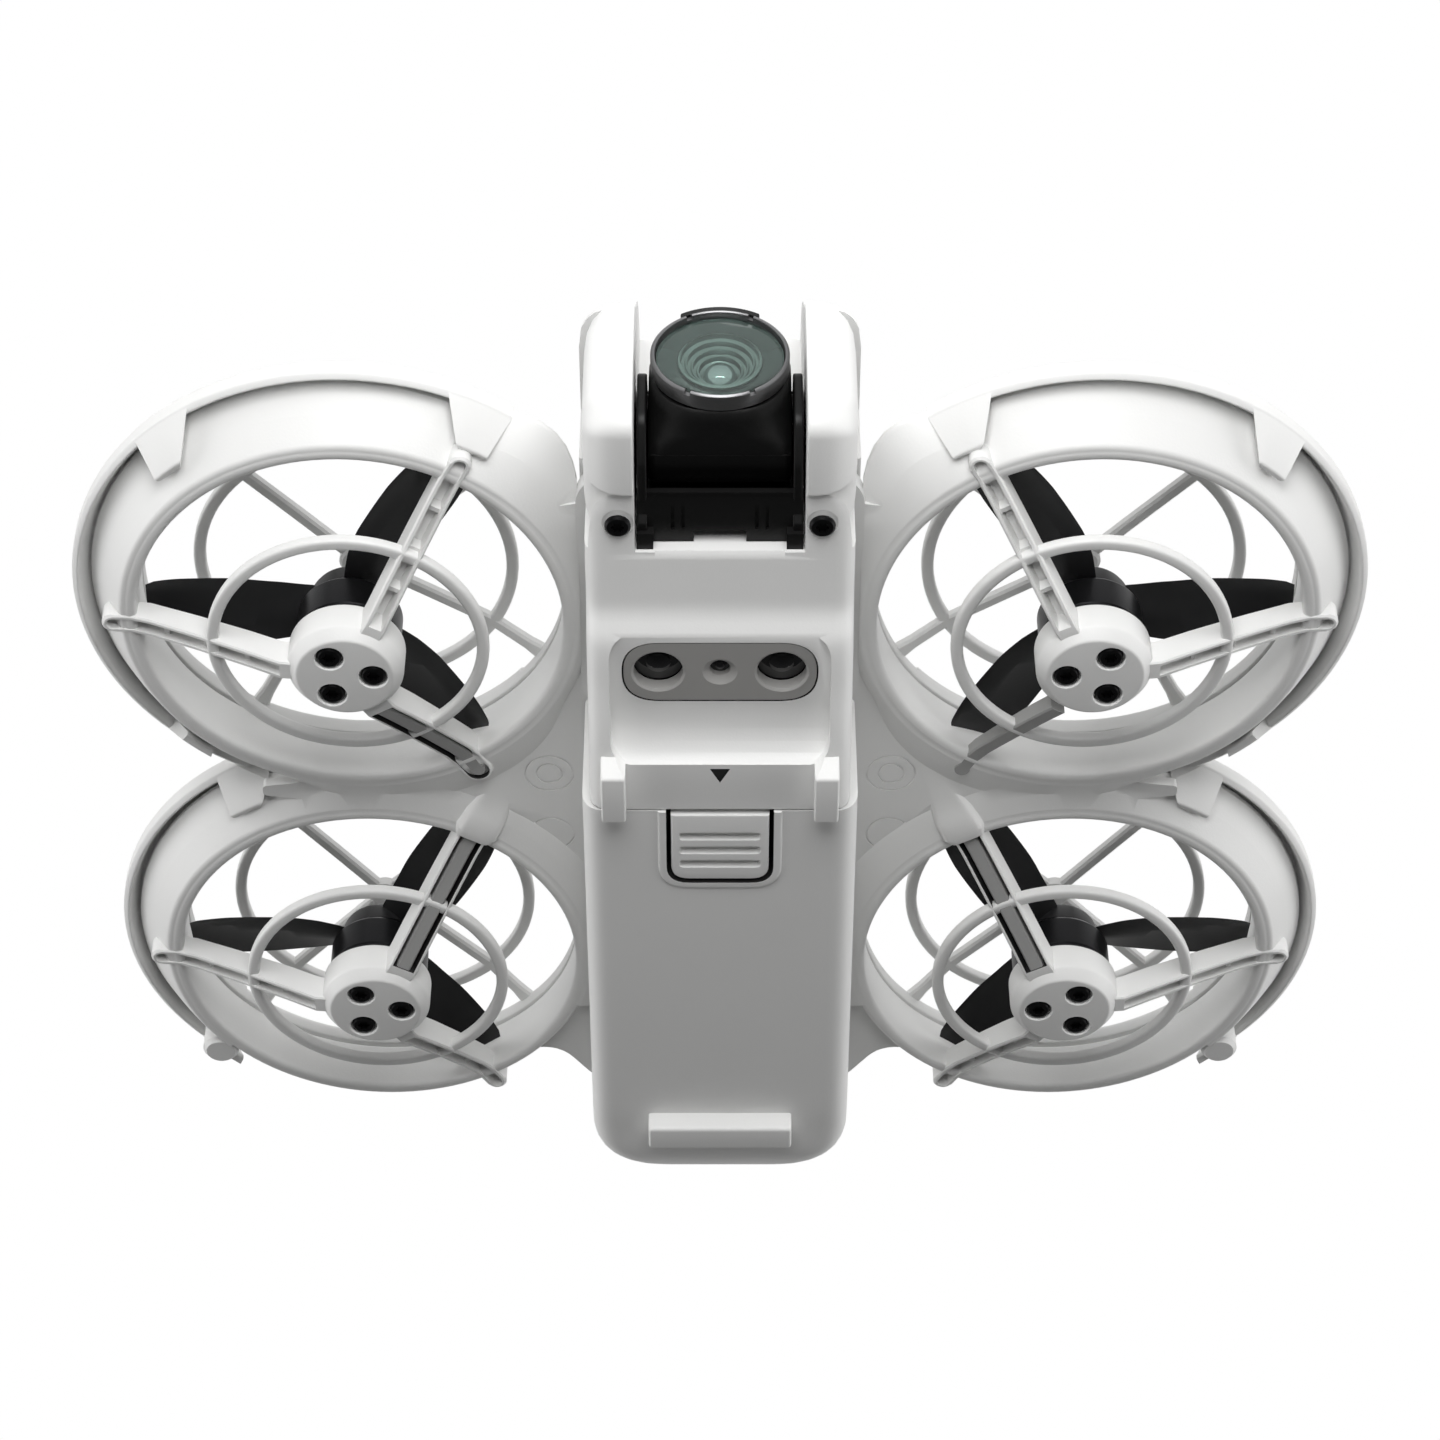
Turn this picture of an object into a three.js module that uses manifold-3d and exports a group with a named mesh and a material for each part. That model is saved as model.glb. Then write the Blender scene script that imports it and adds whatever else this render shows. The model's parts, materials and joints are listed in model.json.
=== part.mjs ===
// Palm-size ducted quadcopter: four shrouded rotors round a slim body with a tilting nose camera
// and a battery that slides out to the rear.
// Millimetres, +Z up, front facing -Y, origin on the ground under the middle of the craft.
import * as THREE from 'three';
import Module from 'manifold-3d';
import { mergeVertices } from 'three/addons/utils/BufferGeometryUtils.js';

const wasm = await Module();
wasm.setup();

// ---------------------------------------------------------------- driving dimensions
const LENGTH = 130;              // nose to rear duct rim
const WIDTH = 157;               // across the guard rims
const HEIGHT = 48.5;             // ground to top of shell
const GAP = 0.3;                 // between fixed pieces that meet
const NOSE_Y = -LENGTH / 2;
const TAIL_Y = LENGTH / 2;

// rotors and ducts
const THROAT_R = 25.6;           // inside of a duct
const THROAT_WALL = 1.4;
const DUCT_SIDES = 32;           // facets round a duct
const RIM_R = 31.8;              // outer edge of the duct flange
const GUARD_R = 34;              // outer edge of the guard
const HUB_X = WIDTH / 2 - GUARD_R;
const HUB_REAR_Y = TAIL_Y - THROAT_R - THROAT_WALL;
const HUB_SPACING = 59.3;        // front hub to rear hub
const HUB_FRONT_Y = HUB_REAR_Y - HUB_SPACING;
const DUCTS_MID_Y = (HUB_FRONT_Y + HUB_REAR_Y) / 2;
const FLANGE_TAIL = 2.6;         // flange and guard stop this far ahead of the rear rim
const HUB_Z = 12;                // underside of a motor hub above the ground
const HUB_R = 6.8;
const HUB_FLOOR = 1.8;
const HUB_TALL = 4;
const THROAT_LOW = 9.8;          // duct heights, above the hub's underside
const THROAT_TOP = 16.5;
const STRUT_ANGLES = [60, 180, 300];
const STRUT_W = 3.2;
const STRUT_WALL = 0.7;
const RING_R = 16.9;             // light ring between the struts
const RING_T = 1.5;
const RING_Z = 5.2;
const WEB_T = 1.5;               // web between duct and body
const GUARD_RING_R = 19.1;
const GUARD_RING_Z = 20.2;
const GUARD_BAR = 1.5;
const BELL_R = 6.3;
const BELL_LOW = 4.6;
const BELL_TOP = 11.5;
const BELL_WALL = 0.7;
const SHAFT_R = 0.8;
const RUN_GAP = 0.2;             // shaft in its bearing tube
const PROP_R = 24.9;
const PROP_Z = 13;
const BLADES = 3;
const BLADE_SWEEP = 2;           // how far mid-blade trails behind its root
const SCREW_CIRCLE = 3.37;
const SCREW_HEAD_R = 1.5;
const SCREW_R = 0.6;

// body
const BODY_W = 33;               // battery and spine
const COVER_W = 31;              // belly cover and cheeks
const BELLY_Z = 2.6;             // underside of battery and shelf
const SPINE_Z = 22.3;            // underside of the spine plate
const SPINE_T = 2.3;
const SHELL_WALL = 1.8;
const SHELL_Z = SPINE_Z + SPINE_T + GAP;
const BODY_TAIL = TAIL_Y - 1.1;
const NOSE_Z = 8;                // underside of cheeks and front of cover
const CHEEK_TOP = 33.6;
const BAY_W = 19.4;              // clear width between the cheeks
const BAY_BACK = NOSE_Y + 20.7;

// camera
const LENS_SETBACK = 1.7;
const LENS_REACH = 8.2;          // tilt axis to lens front
const LENS_R = 7.9;
const TILT_Y = NOSE_Y + LENS_SETBACK + LENS_REACH;
const TILT_Z = 21;
const CAMERA_W = 15.8;
const CAMERA_R = 8.4;
const BRACKET_T = 1.1;
const AXLE_R = 1.6;

// belly cover and sensors
const COVER_FRONT = TILT_Y + 2.4;
const COVER_LENGTH = 44.1;
const COVER_BACK = COVER_FRONT + COVER_LENGTH;
const WINDOW_LENGTH = 22.6;
const WINDOW_WIDTH = 9;
const WINDOW_Y = COVER_BACK - 19.2;
const WINDOW_Z = 5;
const SENSOR_X = 7.2;
const SENSOR_R = 2.6;
const EYE_R = 1.2;
const COVER_SCREW_X = 11.6;
const COVER_SCREW_Y = COVER_FRONT + 4.3;

// battery
const BATTERY_FRONT = COVER_BACK + GAP;
const BATTERY_WALL = 1.7;
const BATTERY_FLOOR = 3.9;
const LATCH_W = 11.8;
const LATCH_LENGTH = 11;
const LATCH_T = 1;
const LATCH_TRAVEL = 1;
const LATCH_SLOT = 0.55;
const FOOT_BAR_W = 18.4;

// buttons
const POWER_Y = NOSE_Y + 59;
const MODE_Y = NOSE_Y + 37;
const BUTTON_R = 3.9;
const BUTTON_TALL = 3.3;
const BUTTON_GAP = 0.4;

// ---------------------------------------------------------------- closed solids
// Merges a geometry's corners, drops slivers, and turns it face out.
function solid(geometry) {
  const bare = geometry.clone();
  bare.deleteAttribute('normal');
  bare.deleteAttribute('uv');
  const merged = mergeVertices(bare, 1e-4);
  const corners = merged.attributes.position.array;
  const order = merged.index.array;
  const faces = [];
  let volume = 0;
  const at = (i) => new THREE.Vector3(corners[3 * i], corners[3 * i + 1], corners[3 * i + 2]);
  for (let i = 0; i < order.length; i += 3) {
    const [a, b, c] = [order[i], order[i + 1], order[i + 2]];
    if (a === b || b === c || a === c) continue;
    faces.push(a, b, c);
    volume += at(a).dot(at(b).cross(at(c)));
  }
  if (volume < 0) faces.reverse();
  return new wasm.Manifold(new wasm.Mesh({
    numProp: 3, vertProperties: new Float32Array(corners), triVerts: new Uint32Array(faces),
  }));
}

const join = (first, ...others) => others.reduce((sum, next) => sum.add(next), first);
const cut = (first, ...others) => others.reduce((rest, next) => rest.subtract(next), first);

function geometryOf(body) {
  const mesh = body.getMesh();
  const geometry = new THREE.BufferGeometry();
  geometry.setAttribute('position', new THREE.BufferAttribute(mesh.vertProperties, 3));
  geometry.setIndex(new THREE.BufferAttribute(mesh.triVerts, 1));
  geometry.computeVertexNormals();
  return geometry;
}

// Box between two corners.
function block(x0, x1, y0, y1, z0, z1) {
  const geometry = new THREE.BoxGeometry(x1 - x0, y1 - y0, z1 - z0);
  return solid(geometry.translate((x0 + x1) / 2, (y0 + y1) / 2, (z0 + z1) / 2));
}

const polygon = (points) => new THREE.Shape(points.map(([a, b]) => new THREE.Vector2(a, b)));

// Round body about Z from a profile of [radius, height], closed on the axis or on itself.
function turned(profile, segments = 32, x = 0, y = 0) {
  const onAxis = profile[0][0] === 0;
  const ring = onAxis ? profile : [...profile, profile[0]];
  const outline = ring.map(([r, z]) => new THREE.Vector2(r, z));
  return solid(new THREE.LatheGeometry(outline, segments).rotateX(Math.PI / 2).translate(x, y, 0));
}

const disc = (r, z0, z1, segments = 16, x = 0, y = 0) =>
  turned([[0, z0], [r, z0], [r, z1], [0, z1]], segments, x, y);

// Outline in the XY plane raised from z0 to z1.
function raised(shape, z0, z1, curveSegments = 6) {
  const geometry = new THREE.ExtrudeGeometry(shape, { depth: z1 - z0, bevelEnabled: false, curveSegments });
  return solid(geometry.translate(0, 0, z0));
}

// Outline of [y, z] points carried across from x0 to x1.
function across(points, x0, x1) {
  const geometry = new THREE.ExtrudeGeometry(polygon(points), { depth: x1 - x0, bevelEnabled: false });
  const turn = new THREE.Matrix4().makeBasis(
    new THREE.Vector3(0, 1, 0), new THREE.Vector3(0, 0, 1), new THREE.Vector3(1, 0, 0));
  return solid(geometry.applyMatrix4(turn).translate(x0, 0, 0));
}

// Outline of [x, z] points carried along from y0 to y1.
function along(points, y0, y1) {
  const geometry = new THREE.ExtrudeGeometry(polygon(points), { depth: y1 - y0, bevelEnabled: false });
  return solid(geometry.rotateX(Math.PI / 2).translate(0, y1, 0));
}

// Outline of [radius, height] points made w thick, standing on the ray at an angle in degrees.
function onRay(points, w, degrees) {
  const geometry = new THREE.ExtrudeGeometry(polygon(points), { depth: w, bevelEnabled: false });
  geometry.translate(0, 0, -w / 2).rotateX(Math.PI / 2);
  return solid(geometry.rotateZ(THREE.MathUtils.degToRad(degrees)));
}

// Disc lying along X, for the tilt axis.
function rodX(r, x0, x1, y, z, segments = 24) {
  const geometry = new THREE.CylinderGeometry(r, r, x1 - x0, segments).rotateZ(Math.PI / 2);
  return solid(geometry.translate((x0 + x1) / 2, y, z));
}

// Rounded rectangle centred on a point; r of half its width gives a stadium.
function roundedShape(w, d, r, x = 0, y = 0) {
  const shape = new THREE.Shape();
  const [a, b] = [w / 2, d / 2];
  shape.moveTo(x - a + r, y - b);
  shape.lineTo(x + a - r, y - b);
  shape.absarc(x + a - r, y - b + r, r, -Math.PI / 2, 0);
  shape.lineTo(x + a, y + b - r);
  shape.absarc(x + a - r, y + b - r, r, 0, Math.PI / 2);
  shape.lineTo(x - a + r, y + b);
  shape.absarc(x - a + r, y + b - r, r, Math.PI / 2, Math.PI);
  shape.lineTo(x - a, y - b + r);
  shape.absarc(x - a + r, y - b + r, r, Math.PI, 1.5 * Math.PI);
  return shape;
}

// ---------------------------------------------------------------- materials and assembly
const FINISHES = {
  white: [0xe6e6e4, 0.55, 0], black: [0x141414, 0.5, 0], steel: [0x8c8c8c, 0.35, 0.9],
  copper: [0xa8622e, 0.4, 0.8], glass: [0x5f6f6c, 0.05, 0.2], board: [0x1f5a3a, 0.6, 0],
  foil: [0x4a4e52, 0.5, 0.2],
};
const drone = new THREE.Group();

function add(name, finish, body, home = drone) {
  const [color, roughness, metalness] = FINISHES[finish];
  const material = new THREE.MeshStandardMaterial({ color, roughness, metalness });
  const mesh = new THREE.Mesh(geometryOf(body), material);
  mesh.name = name;
  home.add(mesh);
}

// ---------------------------------------------------------------- one rotor station
// Angles run from 0 at the body side, by 90 at the front, to 180 outboard. side is -1 left, +1 right.
const heading = (side, angle) => (side > 0 ? 180 + angle : -angle);

function ductBody(side, isFront, hubY) {
  const wall = THROAT_R + THROAT_WALL;
  let shroud = turned([[THROAT_R, THROAT_LOW], [wall, THROAT_LOW], [wall + 2.4, THROAT_LOW + 2.5],
    [RIM_R, THROAT_LOW + 5.6], [RIM_R, THROAT_TOP], [RIM_R - 1, THROAT_TOP], [wall + 1.7, THROAT_LOW + 3.7],
    [wall, THROAT_LOW + 2.2], [wall, THROAT_TOP], [THROAT_R, THROAT_TOP]], DUCT_SIDES);
  // web from the duct to the body's side
  const inner = side * (HUB_X - BODY_W / 2 - 0.8);
  const webEnds = isFront ? [-23, HUB_SPACING / 2] : [-HUB_SPACING / 2, 20];
  let web = block(Math.min(0, -inner), Math.max(0, -inner), webEnds[0], webEnds[1],
    THROAT_LOW, THROAT_LOW + WEB_T);
  web = cut(web, disc(THROAT_R + 0.6, THROAT_LOW - 1, THROAT_LOW + 3, DUCT_SIDES));
  const tail = cut(block(-40, 40, TAIL_Y - FLANGE_TAIL - hubY, 60, 0, 30), disc(wall, -1, 40, DUCT_SIDES));
  shroud = cut(shroud, tail,
    block(Math.min(-inner, -side * 60), Math.max(-inner, -side * 60), -60, 60, 0, 30));
  let body = join(shroud, web);
  const midY = DUCTS_MID_Y - hubY;
  body = cut(body, isFront ? block(-60, 60, midY - GAP / 2, midY + 60, 0, 40)
    : block(-60, 60, midY - 60, midY + GAP / 2, 0, 40));
  // hub cup, struts and light ring
  const hub = turned([[0, 0], [HUB_R - 0.6, 0], [HUB_R, 0.6], [HUB_R, HUB_TALL], [HUB_R - 1.2, HUB_TALL],
    [HUB_R - 1.2, HUB_FLOOR], [0, HUB_FLOOR]], 18);
  const ring = turned([[RING_R - RING_T, RING_Z], [RING_R, RING_Z],
    [RING_R, RING_Z + RING_T], [RING_R - RING_T, RING_Z + RING_T]], 24);
  const reach = THROAT_R + 0.5;
  const beam = [[HUB_R - 0.7, 0.8], [HUB_R + 0.3, 0.8], [reach, 9.3], [reach, 12.2],
    [HUB_R - 0.7, HUB_TALL]];
  const channel = [[HUB_R + 0.5, 0], [reach - 1, 7.6], [reach - 1, 10.4], [HUB_R + 0.5, 3]];
  for (const angle of STRUT_ANGLES) {
    const turn = heading(side, angle);
    const strut = cut(onRay(beam, STRUT_W, turn), onRay(channel, STRUT_W - 2 * STRUT_WALL, turn));
    body = join(body, strut);
  }
  body = join(body, hub, ring);
  for (const [x, y] of screwPlaces(side)) {
    body = cut(body, disc(SCREW_R + GAP, -1, 3, 6, x, y), disc(SCREW_HEAD_R + GAP, -1, 0.9, 8, x, y));
  }
  return body;
}

function screwPlaces(side) {
  return [0, 120, 240].map((angle) => {
    const turn = THREE.MathUtils.degToRad(heading(side, angle));
    return [SCREW_CIRCLE * Math.cos(turn), SCREW_CIRCLE * Math.sin(turn)];
  });
}

const screwBody = () => turned([[0, 0.1], [SCREW_HEAD_R, 0.1], [SCREW_HEAD_R, 0.6], [SCREW_R, 0.6],
  [SCREW_R, HUB_FLOOR], [0, HUB_FLOOR]], 8);

// Guard clipped over the duct: rounded cap ring, light ring and crossed bars, with hooks under the flange.
function guardBody(side, isFront, hubY) {
  let cap = turned([[RIM_R + 0.6, 14.2], [GUARD_R, 14.2], [GUARD_R, 17.2],
    [GUARD_R - 1.2, 18.6], [27.4, 19.9],
    [THROAT_R, 19.2], [THROAT_R, THROAT_TOP + 0.5], [27, 18.2], [RIM_R + 0.4, 17.2]], DUCT_SIDES);
  const midY = DUCTS_MID_Y - hubY;
  const inner = -side * (HUB_X - BODY_W / 2 - 0.8);
  const lap = isFront ? block(-60, 60, midY - GAP / 2, midY + 60, 0, 40)
    : block(-60, 60, midY - 60, midY + GAP / 2, 0, 40);
  const tail = cut(block(-60, 60, TAIL_Y - FLANGE_TAIL - hubY, 80, 0, 40),
    disc(THROAT_R + THROAT_WALL, -1, 50, DUCT_SIDES));
  cap = cut(cap, lap, tail,
    block(Math.min(inner, -side * 60), Math.max(inner, -side * 60), -60, 60, 0, 40));
  const half = GUARD_BAR / 2;
  const ring = turned([[GUARD_RING_R - half, GUARD_RING_Z], [GUARD_RING_R + half, GUARD_RING_Z],
    [GUARD_RING_R + half, GUARD_RING_Z + GUARD_BAR], [GUARD_RING_R - half, GUARD_RING_Z + GUARD_BAR]], 24);
  const bar = [[-0.2, GUARD_RING_Z + 0.6], [GUARD_RING_R, GUARD_RING_Z], [THROAT_R + 1.4, 18.2],
    [THROAT_R + 1.4, 19.4], [GUARD_RING_R, GUARD_RING_Z + GUARD_BAR],
    [-0.2, GUARD_RING_Z + 0.6 + GUARD_BAR]];
  let body = join(cap, ring, disc(2, GUARD_RING_Z + 0.3, GUARD_RING_Z + 2.2, 12));
  for (const angle of [45, 135, 225, 315]) {
    body = join(body, onRay(bar, GUARD_BAR, heading(side, angle)));
  }
  const hook = [[RIM_R + 0.6, 16], [GUARD_R, 16], [GUARD_R, 14.6], [30.9, 10.9],
    [29.9, 11.7], [RIM_R + 0.5, 14.9]];
  for (const angle of isFront ? [57, 132] : [122, 222]) {
    const turn = heading(side, angle);
    body = join(body, cut(onRay(hook, 5, turn), lap, tail));
  }
  return body;
}

function statorBody() {
  const bore = SHAFT_R + RUN_GAP;
  return turned([[bore, HUB_FLOOR + GAP], [HUB_R - 1.5, HUB_FLOOR + GAP], [HUB_R - 1.5, HUB_TALL - 0.1],
    [2.2, HUB_TALL + 0.4], [2.2, 5], [BELL_R - BELL_WALL - 0.5, 5], [BELL_R - BELL_WALL - 0.5, 9.6],
    [bore, 9.6]], 16);
}

function bellBody() {
  const inside = BELL_R - BELL_WALL;
  return turned([[0, 3], [SHAFT_R, 3], [SHAFT_R, BELL_TOP - 1], [inside, BELL_TOP - 1], [inside, BELL_LOW],
    [BELL_R, BELL_LOW], [BELL_R, BELL_TOP - 0.6], [BELL_R - 0.8, BELL_TOP], [0, BELL_TOP]], 18);
}

// One twisted blade along +X: chord, pitch and thickness vary from root to tip; spin is +1 or -1.
function bladeBody(spin) {
  const stations = 5;
  const section = [[-0.5, 0], [-0.25, 0.5], [0.15, 0.45], [0.5, 0], [0.15, -0.4], [-0.25, -0.4]];
  const corners = [];
  for (let i = 0; i < stations; i += 1) {
    const s = i / (stations - 1);
    const r = 3.2 + s * (PROP_R - 3.2);
    const chord = 5 + 6.5 * Math.sin(Math.PI * Math.min(1, 0.12 + 0.72 * s)) - 0.8 * s * s;
    const pitch = THREE.MathUtils.degToRad(34 - 20 * s);
    const thick = 1.5 - 0.8 * s;
    for (const [c, h] of section) {
      const lead = c * chord - BLADE_SWEEP * Math.sin(Math.PI * s);
      const up = h * thick;
      corners.push(r, spin * (lead * Math.cos(pitch) - up * Math.sin(pitch)),
        PROP_Z + lead * Math.sin(pitch) + up * Math.cos(pitch));
    }
  }
  const n = section.length;
  const faces = [];
  for (let i = 0; i < stations - 1; i += 1) {
    for (let j = 0; j < n; j += 1) {
      const [a, b] = [i * n + j, i * n + ((j + 1) % n)];
      faces.push(a, b, b + n, a, b + n, a + n);
    }
  }
  const last = (stations - 1) * n;
  for (let j = 1; j < n - 1; j += 1) {
    faces.push(0, j + 1, j, last, last + j, last + j + 1);
  }
  const geometry = new THREE.BufferGeometry();
  geometry.setAttribute('position', new THREE.BufferAttribute(new Float32Array(corners), 3));
  geometry.setIndex(faces);
  return geometry;
}

function propellerBody(side, spin) {
  const low = BELL_TOP + GAP;
  let body = turned([[0, low], [5, low], [5, PROP_Z + 1.2], [3.6, PROP_Z + 2.4], [0, PROP_Z + 2.4]], 14);
  for (let i = 0; i < BLADES; i += 1) {
    const turn = THREE.MathUtils.degToRad(heading(side, 60 + (360 / BLADES) * i));
    body = join(body, solid(bladeBody(spin).rotateZ(turn)));
  }
  const underside = block(-8, 8, -8, 8, low - 4, low);
  return cut(body, underside);
}

for (const [end, isFront, hubY] of [['front', true, HUB_FRONT_Y], ['rear', false, HUB_REAR_Y]]) {
  for (const [hand, side] of [['left', -1], ['right', 1]]) {
    const station = new THREE.Group();
    station.position.set(side * HUB_X, hubY, HUB_Z);
    drone.add(station);
    const place = `${end}_${hand}`;
    const spin = (isFront ? -1 : 1) * side;
    add(`duct_${place}`, 'white', ductBody(side, isFront, hubY), station);
    add(`guard_${place}`, 'white', guardBody(side, isFront, hubY), station);
    add(`motor_stator_${place}`, 'copper', statorBody(), station);
    add(`motor_bell_${place}`, 'black', bellBody(), station);
    add(`propeller_${place}`, 'black', propellerBody(side, spin), station);
    screwPlaces(side).forEach(([x, y], i) => {
      const spot = new THREE.Group();
      spot.position.set(x, y, 0);
      station.add(spot);
      add(`motor_screw_${place}_${i + 1}`, 'steel', screwBody(), spot);
    });
  }
}

// ---------------------------------------------------------------- spine, top shell and cheeks
const bodyHalf = BODY_W / 2;
const coverHalf = COVER_W / 2;
const bayHalf = BAY_W / 2;
const spineFront = BAY_BACK;
const spineBack = BODY_TAIL - 4;
add('spine_plate', 'white', cut(
  raised(roundedShape(BODY_W + 1, spineBack - spineFront, 5, 0, (spineFront + spineBack) / 2),
    SPINE_Z, SPINE_Z + SPINE_T),
  block(-8, 8, spineFront + 12, spineBack - 30, SPINE_Z - 1, SPINE_Z + SPINE_T + 1)));

// Side outline of the top shell, drawn in by inset all round.
function shellOutline(inset) {
  const top = HEIGHT - inset;
  return [[BAY_BACK + inset, SHELL_Z - 1], [BAY_BACK + inset, CHEEK_TOP + GAP + inset],
    [NOSE_Y + 5.4 + 1.6 * inset, CHEEK_TOP + GAP + inset], [NOSE_Y + 8 + inset, 37.4 - 0.4 * inset],
    [NOSE_Y + 12.8 + 0.8 * inset, 43.4 - 0.7 * inset], [NOSE_Y + 19 + 0.5 * inset, 47.3 - inset],
    [NOSE_Y + 26, top], [POWER_Y + 8, top], [POWER_Y + 46, 46 - inset],
    [BODY_TAIL - 8 - 0.5 * inset, 41.5 - 0.8 * inset], [BODY_TAIL - 1.6 - inset, 34],
    [BODY_TAIL - inset, SHELL_Z - 1]];
}

// End outline of the top shell with its rounded shoulders.
function shellArch(inset) {
  const half = bodyHalf - inset;
  const top = HEIGHT - inset;
  return [[-half, 0], [half, 0], [half, top - 9], [half - 1.4, top - 4.6], [half - 5, top - 1.2],
    [half - 9, top],
    [-half + 9, top], [-half + 5, top - 1.2], [-half + 1.4, top - 4.6], [-half, top - 9]];
}

const shellHull = across(shellOutline(0), -bodyHalf, bodyHalf)
  .intersect(along(shellArch(0), NOSE_Y - 5, TAIL_Y + 5));
const shellSpace = across(shellOutline(SHELL_WALL), -bodyHalf, bodyHalf)
  .intersect(along(shellArch(SHELL_WALL), BAY_BACK + SHELL_WALL, TAIL_Y + 5));
const cameraNotch = block(-bayHalf, bayHalf, NOSE_Y - 5, BAY_BACK, NOSE_Z, HEIGHT + 2);
const belowShell = block(-30, 30, NOSE_Y - 5, TAIL_Y + 5, 0, SHELL_Z);
const PORT_W = 9.2;
const PORT_Z = 28.2;
const PORT_TALL = 3.4;
const buttonHole = (y) => disc(BUTTON_R + BUTTON_GAP, HEIGHT - 6, HEIGHT + 2, 20, 0, y);
add('top_shell', 'white', cut(shellHull, shellSpace, belowShell, cameraNotch,
  buttonHole(POWER_Y), buttonHole(MODE_Y),
  block(-PORT_W / 2, PORT_W / 2, BODY_TAIL - 8, TAIL_Y + 2, PORT_Z, PORT_Z + PORT_TALL)));

function buttonBody(y) {
  return turned([[0, HEIGHT - BUTTON_TALL], [BUTTON_R, HEIGHT - BUTTON_TALL], [BUTTON_R, HEIGHT - 0.6],
    [BUTTON_R - 0.5, HEIGHT - 0.2], [0, HEIGHT - 0.2]], 20, 0, y);
}
add('power_button', 'white', buttonBody(POWER_Y));
add('mode_button', 'white', buttonBody(MODE_Y));

const boardBack = BODY_TAIL - 14;
add('main_board', 'board', join(
  block(-13, 13, BAY_BACK + 8, boardBack, 26.6, 27.8),
  block(-9, 9, BAY_BACK + 20, BAY_BACK + 38, 27.5, 30.5),
  block(-PORT_W / 2 + GAP, PORT_W / 2 - GAP, boardBack - 4, BODY_TAIL - 1.2,
    PORT_Z + GAP, PORT_Z + PORT_TALL - GAP),
  block(-PORT_W / 2 + GAP, PORT_W / 2 - GAP, boardBack - 4, boardBack - 1, 27.5, PORT_Z + 1)));

const cheekOutline = [[NOSE_Y, 12], [NOSE_Y, 27], [NOSE_Y + 2.6, 31.2], [NOSE_Y + 4.6, CHEEK_TOP],
  [BAY_BACK - GAP, CHEEK_TOP], [BAY_BACK - GAP, NOSE_Z + 1.5], [COVER_FRONT - GAP, NOSE_Z + 1.5],
  [COVER_FRONT - GAP, NOSE_Z], [NOSE_Y + 2, NOSE_Z], [NOSE_Y + 0.5, NOSE_Z + 1.4]];
const MOTOR_R = 5.2;
const MOTOR_DEPTH = 3.6;
const motorX = bayHalf + 0.2;
add('cheek_left', 'white', across(cheekOutline, -coverHalf, -bayHalf));
add('cheek_right', 'white', cut(across(cheekOutline, bayHalf, coverHalf),
  rodX(MOTOR_R + GAP, bayHalf - 1, motorX + MOTOR_DEPTH + GAP, TILT_Y, TILT_Z)));
add('tilt_motor', 'steel', rodX(MOTOR_R, motorX, motorX + MOTOR_DEPTH, TILT_Y, TILT_Z));

// ---------------------------------------------------------------- camera on its tilt axis
const bracketOuter = bayHalf - GAP;
const bracketInner = bracketOuter - BRACKET_T;
const bracketOutline = [[NOSE_Y + 4, 15], [NOSE_Y + 4, 27], [NOSE_Y + 8, 31.5], [BAY_BACK - 3, 31.5],
  [BAY_BACK - 0.6, 29], [BAY_BACK - 0.6, 10.4], [COVER_FRONT + 3, 10.4], [NOSE_Y + 7, 11.5]];
for (const [hand, side] of [['left', -1], ['right', 1]]) {
  const [x0, x1] = side < 0 ? [-bracketOuter, -bracketInner] : [bracketInner, bracketOuter];
  add(`camera_bracket_${hand}`, 'black', cut(across(bracketOutline, x0, x1),
    rodX(AXLE_R + GAP, x0 - 1, x1 + 1, TILT_Y, TILT_Z, 16)));
}
const cameraHalf = CAMERA_W / 2;
const lensFront = TILT_Y - LENS_REACH;
const RING_DEPTH = 2.1;
add('camera_housing', 'black', join(
  cut(rodX(CAMERA_R, -cameraHalf, cameraHalf, TILT_Y, TILT_Z, 32),
    block(-CAMERA_W, CAMERA_W, NOSE_Y - 2, lensFront + RING_DEPTH + GAP, 0, HEIGHT)),
  block(-cameraHalf, cameraHalf, lensFront + RING_DEPTH + GAP, TILT_Y,
    TILT_Z - LENS_R + 0.4, TILT_Z + LENS_R - 0.4),
  rodX(AXLE_R, -bracketOuter, bracketOuter, TILT_Y, TILT_Z, 16)));

// A round piece of the lens stack, its profile running from the housing forward.
function lensPiece(profile, segments) {
  const outline = profile.map(([r, depth]) => new THREE.Vector2(r, depth));
  if (profile[0][0] !== 0) outline.push(outline[0].clone());
  return solid(new THREE.LatheGeometry(outline, segments).translate(0, lensFront, TILT_Z));
}
add('lens_ring', 'black', lensPiece([[LENS_R - 0.9, 0], [LENS_R - 0.3, 0], [LENS_R, 0.3],
  [LENS_R, RING_DEPTH],
  [LENS_R - 0.9, RING_DEPTH]], 24));
add('lens_glass', 'glass', lensPiece([[0, 0.3], [4, 0.4], [LENS_R - 1.2, 0.9], [LENS_R - 1.2, RING_DEPTH],
  [0, RING_DEPTH]], 20));

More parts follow.
